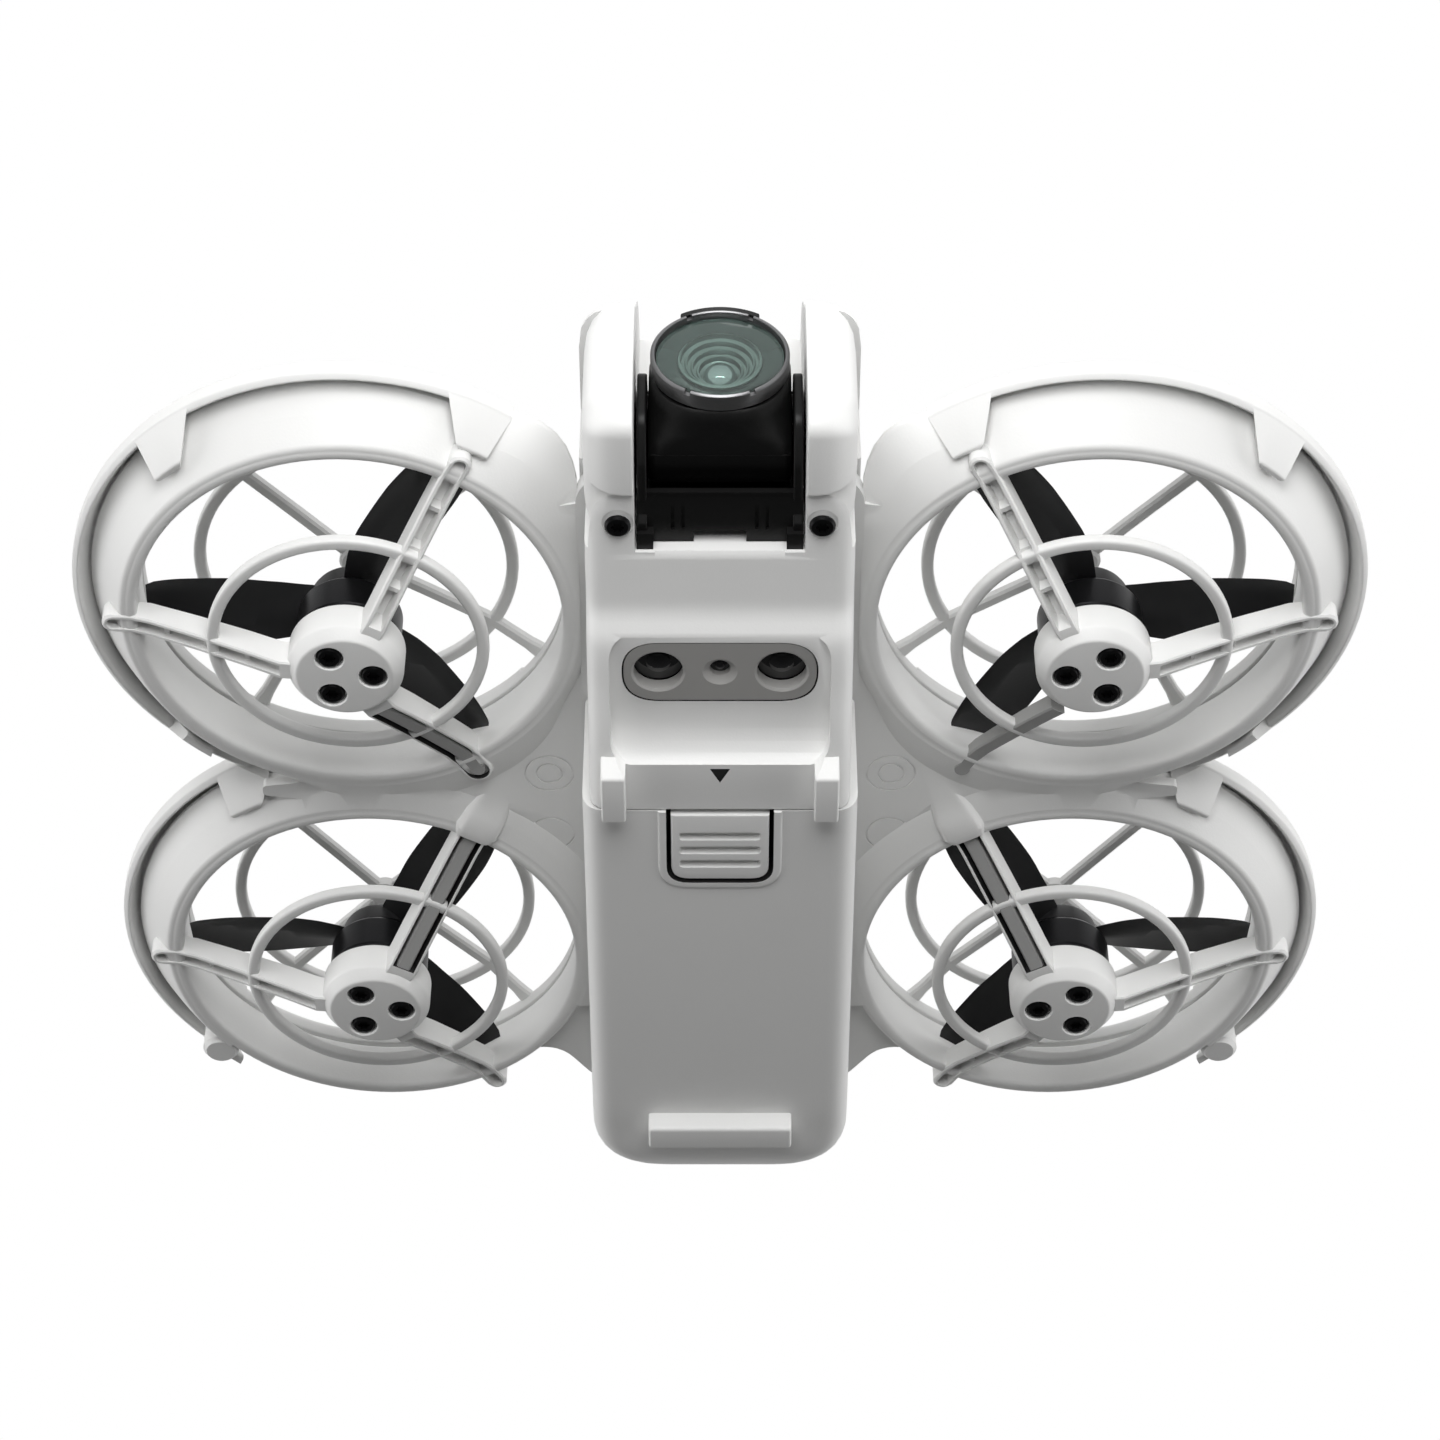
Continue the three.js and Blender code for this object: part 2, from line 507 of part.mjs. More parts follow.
// ---------------------------------------------------------------- belly cover and its sensors
const coverTop = SPINE_Z - GAP;
const bayFloor = NOSE_Z + 1.2;
const trayBack = COVER_BACK - SHELL_WALL;
const coverOutline = [[COVER_FRONT, NOSE_Z], [WINDOW_Y - 7.2, NOSE_Z], [WINDOW_Y - 5.6, WINDOW_Z + 0.2],
  [WINDOW_Y + 5.4, WINDOW_Z], [COVER_BACK - 8, BELLY_Z], [COVER_BACK, BELLY_Z], [COVER_BACK, coverTop],
  [BAY_BACK, coverTop], [BAY_BACK, bayFloor], [COVER_FRONT, bayFloor]];
const windowHole = roundedShape(WINDOW_LENGTH + 2 * GAP, WINDOW_WIDTH + 2 * GAP,
  WINDOW_WIDTH / 2, 0, WINDOW_Y);
const opening = roundedShape(WINDOW_LENGTH - 3, WINDOW_WIDTH - 2.4, WINDOW_WIDTH / 2 - 1.3, 0, WINDOW_Y);
let cover = cut(across(coverOutline, -coverHalf, coverHalf),
  block(-coverHalf + SHELL_WALL, coverHalf - SHELL_WALL, BAY_BACK + SHELL_WALL, WINDOW_Y - 8,
    NOSE_Z + 2, 40),
  block(-coverHalf + SHELL_WALL, coverHalf - SHELL_WALL, WINDOW_Y - 8.1, trayBack, WINDOW_Z + 2.2, 40),
  raised(windowHole, 0, WINDOW_Z + 1.1), raised(opening, 0, WINDOW_Z + 4));
for (const side of [-1, 1]) {
  const x = side * 12.6;
  cover = join(cover, block(x - 1.45, x + 1.45, COVER_BACK - 8, COVER_BACK - 0.2, 0, BELLY_Z + 0.6));
  cover = cut(cover, disc(SCREW_R + GAP, 0, 12, 8, side * COVER_SCREW_X, COVER_SCREW_Y),
    disc(SCREW_HEAD_R + GAP, 0, NOSE_Z + 0.6, 10, side * COVER_SCREW_X, COVER_SCREW_Y));
}
add('belly_cover', 'white', cover);
for (const [hand, side] of [['left', -1], ['right', 1]]) {
  const spot = new THREE.Group();
  spot.position.set(side * COVER_SCREW_X, COVER_SCREW_Y, NOSE_Z);
  drone.add(spot);
  const coverScrew = join(disc(SCREW_HEAD_R, -0.1, 0.3, 10), disc(SCREW_R, 0.2, 1.3, 8));
  add(`cover_screw_${hand}`, 'steel', coverScrew, spot);
}

const windowShape = roundedShape(WINDOW_LENGTH, WINDOW_WIDTH, WINDOW_WIDTH / 2 - 0.05, 0, WINDOW_Y);
const sensorHole = (r, x) => disc(r + GAP, 0, 12, 12, x, WINDOW_Y);
add('sensor_window', 'white', cut(raised(windowShape, WINDOW_Z + 0.2, WINDOW_Z + 0.8),
  sensorHole(SENSOR_R, -SENSOR_X), sensorHole(SENSOR_R, SENSOR_X), sensorHole(EYE_R, 0)));
const sensorBody = (r, x) => turned([[0, WINDOW_Z + 0.5], [r * 0.6, WINDOW_Z + 0.4], [r, WINDOW_Z + 0.7],
  [r, WINDOW_Z + 3.6], [0, WINDOW_Z + 3.6]], 16, x, WINDOW_Y);
add('range_sensor_left', 'glass', sensorBody(SENSOR_R, -SENSOR_X));
add('range_sensor_right', 'glass', sensorBody(SENSOR_R, SENSOR_X));
add('downward_camera', 'glass', sensorBody(EYE_R, 0));
add('sensor_board', 'board', block(-12, 12, WINDOW_Y - 5, WINDOW_Y + 5, WINDOW_Z + 4, WINDOW_Z + 5));

// ---------------------------------------------------------------- sliding battery
const batteryTop = SPINE_Z - GAP;
const caseBack = BODY_TAIL;
const caseOutline = [[BATTERY_FRONT, BELLY_Z], [caseBack - 9, BELLY_Z], [caseBack - 4.4, 3.9],
  [caseBack - 1.4, 7],
  [caseBack, 11.6], [caseBack, batteryTop], [BATTERY_FRONT, batteryTop]];
const casePlan = roundedShape(BODY_W, caseBack - BATTERY_FRONT + 20, 8, 0,
  (caseBack + BATTERY_FRONT - 20) / 2);
const pocketHalf = LATCH_W / 2 + LATCH_SLOT;
const barY = caseBack - 14.6;
const cellTop = batteryTop - BATTERY_WALL;
add('battery_case', 'white', join(cut(
  across(caseOutline, -bodyHalf, bodyHalf).intersect(raised(casePlan, 0, 40)),
  block(-bodyHalf + BATTERY_WALL, bodyHalf - BATTERY_WALL, BATTERY_FRONT - 1, caseBack - 8,
    BELLY_Z + BATTERY_FLOOR, cellTop),
  block(-pocketHalf, pocketHalf, BATTERY_FRONT - 1, BATTERY_FRONT + LATCH_LENGTH + 2 * LATCH_SLOT, 0,
    BELLY_Z + LATCH_T + LATCH_TRAVEL + 0.5)),
block(-FOOT_BAR_W / 2, FOOT_BAR_W / 2, barY - 2.2, barY + 2.2, 0, BELLY_Z + 0.6)));
add('battery_cells', 'foil', block(-bodyHalf + BATTERY_WALL + 0.5, bodyHalf - BATTERY_WALL - 0.5,
  BATTERY_FRONT + 2.5, caseBack - 8.5, BELLY_Z + BATTERY_FLOOR + 0.4, cellTop - 0.4));
add('battery_connector', 'black', block(-8, 8, BATTERY_FRONT + 0.2, BATTERY_FRONT + 2,
  BELLY_Z + BATTERY_FLOOR + 1, BELLY_Z + BATTERY_FLOOR + 7));
add('battery_latch', 'white', block(-LATCH_W / 2, LATCH_W / 2, BATTERY_FRONT + LATCH_SLOT,
  BATTERY_FRONT + LATCH_SLOT + LATCH_LENGTH, BELLY_Z + 0.1, BELLY_Z + 0.1 + LATCH_T));

export default drone;
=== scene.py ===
"""Looks of a palm-size ducted quadcopter, built round its fixed frame. Lengths are in millimetres."""

import json
import math

import bmesh
import bpy
from mathutils import Matrix, Vector


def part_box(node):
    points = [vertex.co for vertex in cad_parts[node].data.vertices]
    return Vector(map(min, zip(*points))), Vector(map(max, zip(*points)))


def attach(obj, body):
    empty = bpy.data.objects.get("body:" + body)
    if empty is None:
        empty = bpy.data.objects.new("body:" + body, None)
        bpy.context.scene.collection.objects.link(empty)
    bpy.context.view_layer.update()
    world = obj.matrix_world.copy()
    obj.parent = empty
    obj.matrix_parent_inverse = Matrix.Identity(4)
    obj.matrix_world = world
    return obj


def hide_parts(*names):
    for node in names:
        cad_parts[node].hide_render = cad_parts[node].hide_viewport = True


bl_info = {
    "name": "Ducted quadcopter looks",
    "version": (1, 0, 0),
    "blender": (4, 5, 0),
    "location": "3D View > Sidebar > Quadcopter",
    "description": "Builds the shells, rotors, camera and battery of a palm-size ducted quadcopter",
    "category": "Object",
}

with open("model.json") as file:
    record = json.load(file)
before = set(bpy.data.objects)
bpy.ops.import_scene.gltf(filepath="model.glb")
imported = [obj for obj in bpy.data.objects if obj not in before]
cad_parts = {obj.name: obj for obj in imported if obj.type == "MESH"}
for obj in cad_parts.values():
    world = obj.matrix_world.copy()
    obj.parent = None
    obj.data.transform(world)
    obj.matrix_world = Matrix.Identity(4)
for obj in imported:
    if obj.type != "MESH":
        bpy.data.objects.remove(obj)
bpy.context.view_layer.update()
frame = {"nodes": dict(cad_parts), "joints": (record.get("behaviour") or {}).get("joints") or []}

MM = 0.001
SIDES = {"left": -1, "right": 1}
ENDS = ("front", "rear")
PLACES = [(f"{end}_{hand}", end, side) for end in ENDS for hand, side in SIDES.items()]


def node_box(node):
    """Lowest and highest corner of a frame node, in millimetres."""
    low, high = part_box(node)
    return low / MM, high / MM


def joint_place(name):
    """Where a hinge sits, in millimetres."""
    found = next(joint for joint in frame["joints"] if joint["name"] == name)
    return Vector(found["pos_m"]) / MM


# ------------------------------------------------------------------ places taken from the frame
HUBS = {place: joint_place(f"spin_{place}") for place, _, _ in PLACES}
HUB_Z = node_box("duct_front_left")[0].z
MID_Y = (HUBS["front_left"].y + HUBS["rear_left"].y) / 2
BATTERY = node_box("battery_case")
COVER = node_box("belly_cover")
SHELL = node_box("top_shell")
LATCH = node_box("battery_latch")
WINDOW = node_box("sensor_window")
CHEEK = node_box("cheek_right")
TILT = joint_place("camera_tilt")
LENS = node_box("lens_ring")

THROAT_R = 25.6
RIM_R = 31.8
GUARD_R = 34.0
STRUT_ANGLES = (60, 180, 300)
WIRED_STRUT = {"front": 300, "rear": 60}
BAY_HALF = 9.7                   # half the clear width between the cheeks
SCREW_CIRCLE = 3.37


# ------------------------------------------------------------------ settings
class DroneShellSettings(bpy.types.PropertyGroup):
    """Finish of the moulded white and black parts."""

    shell_colour: bpy.props.FloatVectorProperty(
        name="Shell colour", description="Colour of the white mouldings", subtype="COLOR",
        size=3, min=0, max=1, default=(0.82, 0.82, 0.81))
    black_colour: bpy.props.FloatVectorProperty(
        name="Black colour", description="Colour of the camera housing and brackets", subtype="COLOR",
        size=3, min=0, max=1, default=(0.005, 0.005, 0.005))
    shell_roughness: bpy.props.FloatProperty(
        name="Shell roughness", description="Roughness of the white mouldings", min=0, max=1,
        subtype="FACTOR", default=0.48)
    grain_depth: bpy.props.FloatProperty(
        name="Grain depth", description="Depth of the moulded grain", unit="LENGTH", default=0.00002)


class DroneRotorSettings(bpy.types.PropertyGroup):
    """Sizes of the propellers."""

    tip_radius: bpy.props.FloatProperty(
        name="Tip radius", description="Hub axis to blade tip, in millimetres", default=24.8)
    root_chord: bpy.props.FloatProperty(
        name="Root chord", description="Blade width at the hub, in millimetres", default=5.0)
    full_chord: bpy.props.FloatProperty(
        name="Full chord", description="Greatest blade width, in millimetres", default=12.0)
    tip_chord: bpy.props.FloatProperty(
        name="Tip chord", description="Blade width at the tip, in millimetres", default=8.8)
    root_pitch: bpy.props.FloatProperty(
        name="Root pitch", description="Blade angle at the hub", subtype="ANGLE", default=math.radians(32))
    tip_pitch: bpy.props.FloatProperty(
        name="Tip pitch", description="Blade angle at the tip", subtype="ANGLE", default=math.radians(12))


class DroneStageSettings(bpy.types.PropertyGroup):
    """Lamps, floor and camera."""

    key_power: bpy.props.FloatProperty(
        name="Key power", description="Power of the lamp ahead of the nose", unit="POWER", default=0.75)
    under_power: bpy.props.FloatProperty(
        name="Under power", description="Power of the lamp below", unit="POWER", default=0.08)
    flank_power: bpy.props.FloatProperty(
        name="Flank power", description="Power of each lamp at the sides", unit="POWER", default=0.9)
    top_power: bpy.props.FloatProperty(
        name="Top power", description="Power of the lamp overhead", unit="POWER", default=1.5)
    sky_strength: bpy.props.FloatProperty(
        name="Sky strength", description="Even light from all round", min=0, default=0.9)
    floor_colour: bpy.props.FloatVectorProperty(
        name="Floor colour", description="Colour of the floor", subtype="COLOR", size=3, min=0, max=1,
        default=(0.86, 0.86, 0.86))
    lens_length: bpy.props.FloatProperty(
        name="Lens length", description="Focal length of the camera, in millimetres", default=97.8)


def settings(kind):
    return getattr(bpy.context.scene, f"drone_{kind}")


# ------------------------------------------------------------------ outlines
def arc(centre, radius, start, end, steps):
    """Points on a circle from one angle to another, in degrees."""
    turns = [math.radians(start + (end - start) * i / steps) for i in range(steps + 1)]
    return [(centre[0] + radius * math.cos(t), centre[1] + radius * math.sin(t)) for t in turns]


def soft_outline(corners, steps=4):
    """Closed outline from corners (a, b, radius), each rounded by an arc of its radius."""
    points = []
    count = len(corners)
    for i, (a, b, radius) in enumerate(corners):
        here = Vector((a, b))
        back = Vector(corners[i - 1][:2]) - here
        ahead = Vector(corners[(i + 1) % count][:2]) - here
        bend = back.angle(ahead)
        if radius <= 0:
            points.append((a, b))
            continue
        reach = min(max(radius / math.tan(bend / 2), 0.05), 0.48 * back.length, 0.48 * ahead.length)
        start, end = here + back.normalized() * reach, here + ahead.normalized() * reach
        for k in range(steps + 1):
            t = k / steps
            spot = start * (1 - t) ** 2 + here * 2 * t * (1 - t) + end * t ** 2
            points.append((spot.x, spot.y))
    return points


def rounded_box_outline(half_a, b0, b1, radius, steps=5):
    """Rounded rectangle, symmetric about a = 0."""
    return soft_outline([(-half_a, b0, radius), (half_a, b0, radius), (half_a, b1, radius),
                         (-half_a, b1, radius)], steps)


def smooth_value(table, at):
    """Value between the rows of a short (place, value) table, eased by a cubic."""
    if at <= table[0][0]:
        return table[0][1]
    for i in range(len(table) - 1):
        (x0, v0), (x1, v1) = table[i], table[i + 1]
        if at <= x1:
            slope = lambda j: (table[j + 1][1] - table[j - 1][1]) / (table[j + 1][0] - table[j - 1][0])
            m0 = slope(i) if i > 0 else (v1 - v0) / (x1 - x0)
            m1 = slope(i + 1) if i + 2 < len(table) else (v1 - v0) / (x1 - x0)
            t, span = (at - x0) / (x1 - x0), x1 - x0
            return ((2 * t ** 3 - 3 * t ** 2 + 1) * v0 + (t ** 3 - 2 * t ** 2 + t) * span * m0
                    + (-2 * t ** 3 + 3 * t ** 2) * v1 + (t ** 3 - t ** 2) * span * m1)
    return table[-1][1]


# ------------------------------------------------------------------ solids
def loft(rings, closed=False):
    """Skin over rings of equal count; the two ends are capped unless the loft closes on itself."""
    bm = bmesh.new()
    verts = [[bm.verts.new(point) for point in ring] for ring in rings]
    count = len(rings[0])
    pairs = list(zip(verts, verts[1:]))
    if closed:
        pairs.append((verts[-1], verts[0]))
    for low, high in pairs:
        for i in range(count):
            j = (i + 1) % count
            bm.faces.new((low[i], low[j], high[j], high[i]))
    if not closed:
        bm.faces.new(list(reversed(verts[0])))
        bm.faces.new(verts[-1])
    bmesh.ops.recalc_face_normals(bm, faces=bm.faces)
    return bm


def turned(profile, steps=96, centre=(0, 0, 0)):
    """Round body about an upright axis from a closed (radius, height) outline that stays off the axis."""
    rings = []
    for i in range(steps):
        turn = 2 * math.pi * i / steps
        rings.append([(centre[0] + r * math.cos(turn), centre[1] + r * math.sin(turn), centre[2] + z)
                      for r, z in profile])
    return loft(rings, closed=True)


def capped_turn(profile, steps=64, centre=(0, 0, 0)):
    """Round body from an open (radius, height) outline whose two ends are closed by flat discs."""
    rings = [[(centre[0] + r * math.cos(2 * math.pi * i / steps),
               centre[1] + r * math.sin(2 * math.pi * i / steps),
               centre[2] + z) for i in range(steps)] for r, z in profile]
    return loft(rings)


def plate(outline, low, high):
    """Flat outline (x, y) made solid from one height to another."""
    return loft([[(x, y, low) for x, y in outline], [(x, y, high) for x, y in outline]])


def drawn_in(outline, inset):
    """Outline shrunk towards the middle of its box by an equal margin."""
    (a0, a1), (b0, b1) = [(min(v), max(v)) for v in zip(*outline)]
    a_mid, b_mid, a_half, b_half = (a0 + a1) / 2, (b0 + b1) / 2, (a1 - a0) / 2, (b1 - b0) / 2
    return [(a_mid + (a - a_mid) * (1 - inset / a_half), b_mid + (b - b_mid) * (1 - inset / b_half)) for a,
            b in outline]


def rounding(radius, steps=5):
    """(travel, inset) pairs for a quarter round, from the flat end to full width."""
    turns = [math.pi / 2 * i / steps for i in range(steps + 1)]
    return [(radius * (1 - math.cos(t)), radius * (1 - math.sin(t))) for t in turns]


def across(outline, x0, x1, ease0=0.0, ease1=0.0):
    """Side outline (y, z) carried from x0 to x1, each end rounded off by its ease."""
    way = 1 if x1 > x0 else -1
    stops = [(x0 + way * d, inset) for d, inset in rounding(ease0)] if ease0 else [(x0, 0.0)]
    stops += [(x1 - way * d, inset) for d, inset in reversed(rounding(ease1))] if ease1 else [(x1, 0.0)]
    return loft([[(x, y, z) for y, z in drawn_in(outline, inset)] for x, inset in stops])


def box(x0, x1, y0, y1, z0, z1):
    return plate([(x0, y0), (x1, y0), (x1, y1), (x0, y1)], z0, z1)


def moved(bm, matrix):
    bmesh.ops.transform(bm, matrix=matrix, verts=bm.verts)
    return bm


def round_edges(bm, wanted, radius, steps=3):
    """Rounds the edges that a test picks out."""
    edges = [edge for edge in bm.edges if len(edge.link_faces) == 2 and wanted(edge)]
    if edges:
        bmesh.ops.bevel(bm, geom=edges, offset=radius, segments=steps, profile=0.5, affect="EDGES",
                        clamp_overlap=True)
    return bm


def paint_slot_shade(bm):
    """Gives every face of a cutter the second slot, so the cut it leaves is dark: painted shade standing in
    for the shadow inside the slot.
    """
    for face in bm.faces:
        face.material_index = 1
    return bm


def scratch_object(bm):
    mesh = bpy.data.meshes.new("scratch")
    bm.to_mesh(mesh)
    bm.free()
    # Slot 1 is near-black painted shade, which marked cutters leave on the walls of their cuts.
    for material in (white_plastic(), look("painted slot shade")):
        mesh.materials.append(material)
    obj = bpy.data.objects.new("scratch", mesh)
    bpy.context.scene.collection.objects.link(obj)
    return obj


def combine(bm, others, operation="UNION"):
    """Joins, cuts or intersects solids with the exact solver, one after another."""
    least = max(item.calc_volume() for item in (bm, *others)) if operation == "UNION" else 0
    base = scratch_object(bm)
    tools = [scratch_object(other) for other in others]
    for tool in tools:
        step = base.modifiers.new("step", "BOOLEAN")
        step.operation = operation
        step.solver = "EXACT"
        step.object = tool
        step.material_mode = "TRANSFER"
    shown = base.evaluated_get(bpy.context.evaluated_depsgraph_get())
    result = bmesh.new()
    result.from_mesh(shown.to_mesh())
    shown.to_mesh_clear()
    for obj in [base, *tools]:
        mesh = obj.data
        bpy.data.objects.remove(obj)
        bpy.data.meshes.remove(mesh)
    if result.calc_volume() < 0.98 * least + 1e-3:
        raise RuntimeError("a boolean lost a part")
    bmesh.ops.remove_doubles(result, verts=result.verts, dist=1e-4)
    return result


def sliced(bm, point, away):
    """Cuts off what lies on the side that away points to, and closes the cut."""
    made = bmesh.ops.bisect_plane(bm, geom=[*bm.verts, *bm.edges, *bm.faces], plane_co=point,
                                  plane_no=away, clear_outer=True)
    edges = [item for item in made["geom_cut"] if isinstance(item, bmesh.types.BMEdge)]
    bmesh.ops.holes_fill(bm, edges=edges)
    return bm


def piece(name, bm, materials, body, replaces=(), smooth=35):
    """Turns a mesh in millimetres into a finished piece that rides on a body."""
    bmesh.ops.recalc_face_normals(bm, faces=bm.faces)
    bmesh.ops.scale(bm, vec=(MM, MM, MM), verts=bm.verts)
    mesh = bpy.data.meshes.new(name)
    bm.to_mesh(mesh)
    bm.free()
    mesh.polygons.foreach_set("use_smooth", [True] * len(mesh.polygons))
    mesh.set_sharp_from_angle(angle=math.radians(smooth))
    for material in materials:
        mesh.materials.append(material)
    obj = bpy.data.objects.new(name, mesh)
    bpy.context.scene.collection.objects.link(obj)
    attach(obj, body)
    if replaces:
        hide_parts(*replaces)
    return obj


# ------------------------------------------------------------------ materials
def surface_group():
    """Fine moulded grain with soft mottling, shared by every plastic and metal."""
    name = "moulded surface"
    if name in bpy.data.node_groups:
        return bpy.data.node_groups[name]
    group = bpy.data.node_groups.new(name, "ShaderNodeTree")
    for label, kind, value in (("Color", "NodeSocketColor", (0.8, 0.8, 0.8, 1)),
                               ("Shade", "NodeSocketFloat", 0.93),
                               ("Roughness", "NodeSocketFloat", 0.5), ("Spread", "NodeSocketFloat", 0.1),
                               ("Grain Size", "NodeSocketFloat", 0.0003),
                               ("Mottle Size", "NodeSocketFloat", 0.012)):
        made = group.interface.new_socket(label, in_out="INPUT", socket_type=kind)
        made.default_value = value
    for label, kind in (("Color", "NodeSocketColor"), ("Roughness", "NodeSocketFloat"),
                        ("Height", "NodeSocketFloat")):
        group.interface.new_socket(label, in_out="OUTPUT", socket_type=kind)
    nodes, links = group.nodes, group.links
    start, end = nodes.new("NodeGroupInput"), nodes.new("NodeGroupOutput")
    place = nodes.new("ShaderNodeTexCoord")
    noises = {}
    for key, detail in (("Grain Size", 3), ("Mottle Size", 4)):
        divide = nodes.new("ShaderNodeMath")
        divide.operation = "DIVIDE"
        divide.inputs[0].default_value = 1
        links.new(start.outputs[key], divide.inputs[1])
        noise = nodes.new("ShaderNodeTexNoise")
        noise.inputs["Detail"].default_value = detail
        links.new(place.outputs["Object"], noise.inputs["Vector"])
        links.new(divide.outputs[0], noise.inputs["Scale"])
        noises[key] = noise.outputs["Fac"]
    shade = nodes.new("ShaderNodeMix")
    shade.data_type = "RGBA"
    shade.blend_type = "MULTIPLY"
    links.new(noises["Mottle Size"], shade.inputs[0])
    links.new(start.outputs["Color"], shade.inputs[6])
    links.new(start.outputs["Shade"], shade.inputs[7])
    links.new(shade.outputs[2], end.inputs["Color"])
    centred = nodes.new("ShaderNodeMath")
    centred.operation = "SUBTRACT"
    centred.inputs[1].default_value = 0.5
    links.new(noises["Mottle Size"], centred.inputs[0])
    spread = nodes.new("ShaderNodeMath")
    spread.operation = "MULTIPLY_ADD"
    links.new(centred.outputs[0], spread.inputs[0])
    links.new(start.outputs["Spread"], spread.inputs[1])
    links.new(start.outputs["Roughness"], spread.inputs[2])
    links.new(spread.outputs[0], end.inputs["Roughness"])
    links.new(noises["Grain Size"], end.inputs["Height"])
    return group


def finish(name, colour, roughness, shade=0.94, spread=0.1, grain=0.0003, mottle=0.012, depth=None,
           **sockets):
    """Material with the shared surface; other Principled sockets are set by name, with _ for a space."""
    if name in bpy.data.materials:
        return bpy.data.materials[name]
    material = bpy.data.materials.new(name)
    material.use_nodes = True
    nodes, links = material.node_tree.nodes, material.node_tree.links
    shader = nodes["Principled BSDF"]
    surface = nodes.new("ShaderNodeGroup")
    surface.node_tree = surface_group()
    for label, value in (("Color", (*colour, 1)), ("Shade", shade), ("Roughness", roughness),
                         ("Spread", spread),
                         ("Grain Size", grain), ("Mottle Size", mottle)):
        surface.inputs[label].default_value = value
    bump = nodes.new("ShaderNodeBump")
    bump.inputs["Strength"].default_value = 0.6
    bump.inputs["Distance"].default_value = settings("shell").grain_depth if depth is None else depth
    links.new(surface.outputs["Color"], shader.inputs["Base Color"])
    links.new(surface.outputs["Roughness"], shader.inputs["Roughness"])
    links.new(surface.outputs["Height"], bump.inputs["Height"])
    links.new(bump.outputs["Normal"], shader.inputs["Normal"])
    for label, value in sockets.items():
        shader.inputs[label.replace("_", " ")].default_value = value
    return material


def white_plastic():
    shell = settings("shell")
    return finish("white moulding", shell.shell_colour, shell.shell_roughness, shade=0.965, spread=0.08)


def black_plastic():
    return finish("black moulding", settings("shell").black_colour, 0.45, shade=0.7, spread=0.12,
                  Specular_IOR_Level=0.3)


LOOKS = {
    # Near-black painted shade for the walls of slots, pockets and wells cut by marked cutters.
    "painted slot shade": ((0.01, 0.01, 0.01), 0.8, {}),
    "wire cover": ((0.36, 0.36, 0.355), 0.5, {"shade": 0.95}),
    "sensor panel": ((0.36, 0.355, 0.345), 0.5, {"shade": 0.95}),
    "propeller moulding": ((0.012, 0.012, 0.013), 0.46, {"shade": 0.75, "spread": 0.2, "grain": 0.0006}),
    "anodised bell": ((0.018, 0.018, 0.02), 0.36,
                      {"shade": 0.8, "spread": 0.12, "grain": 0.0002, "Metallic": 0.7}),
    "blackened screw": ((0.02, 0.02, 0.021), 0.34, {"shade": 0.7, "spread": 0.14, "Metallic": 0.85}),
    "shaft steel": ((0.5, 0.5, 0.52), 0.28, {"shade": 0.85, "Metallic": 1.0}),
    "enamelled copper": ((0.5, 0.2, 0.08), 0.35,
                         {"shade": 0.6, "grain": 0.0005, "depth": 0.00008, "Metallic": 0.9}),
    "solder mask": ((0.012, 0.09, 0.045), 0.35, {"shade": 0.7, "grain": 0.0012, "depth": 0.00003}),
    "cell foil": ((0.42, 0.43, 0.45), 0.3, {"shade": 0.8, "grain": 0.002, "depth": 0.00006,
                                            "Metallic": 0.8}),
    "dark sensor cap": ((0.004, 0.004, 0.005), 0.08,
                        {"shade": 0.8, "spread": 0.04, "depth": 0.0, "Coat_Weight": 1.0,
                         "Coat_Roughness": 0.03}),
    "satin lens ring": ((0.24, 0.24, 0.245), 0.35, {"shade": 0.85, "spread": 0.1, "Metallic": 0.9}),
    "barrel steps": ((0.34, 0.40, 0.385), 0.3, {"shade": 0.75, "spread": 0.1, "Metallic": 0.85}),
    "coated lens floor": ((0.045, 0.075, 0.068), 0.22,
                          {"shade": 0.7, "spread": 0.1, "Metallic": 0.4, "Coat_Weight": 0.6}),
    "lens core": ((0.55, 0.62, 0.62), 0.06,
                  {"shade": 0.5, "spread": 0.02, "depth": 0.0, "Metallic": 0.9, "Coat_Weight": 1.0}),
    "optical glass": ((0.80, 0.92, 0.88), 0.02,
                      {"shade": 0.97, "spread": 0.01, "depth": 0.0, "Transmission_Weight": 1.0,
                       "IOR": 1.5}),
}


def look(name):
    """Material from the table above: colour, roughness and what else sets it apart."""
    colour, roughness, rest = LOOKS[name]
    return finish(name, colour, roughness, **rest)


def repaint(node, material):
    """Gives a node of the frame one material."""
    mesh = frame["nodes"][node].data
    mesh.materials.clear()
    mesh.materials.append(material)


# ------------------------------------------------------------------ rotor station geometry
def heading(side, angle):
    """Turn about the upright axis for an angle that runs from the body side by the front to outboard."""
    return math.radians(180 + angle if side > 0 else -angle)


def on_station(bm, place):
    hub = HUBS[place]
    return moved(bm, Matrix.Translation((hub.x, hub.y, HUB_Z)))


def ray(side, angle):
    return Matrix.Rotation(heading(side, angle), 4, "Z")


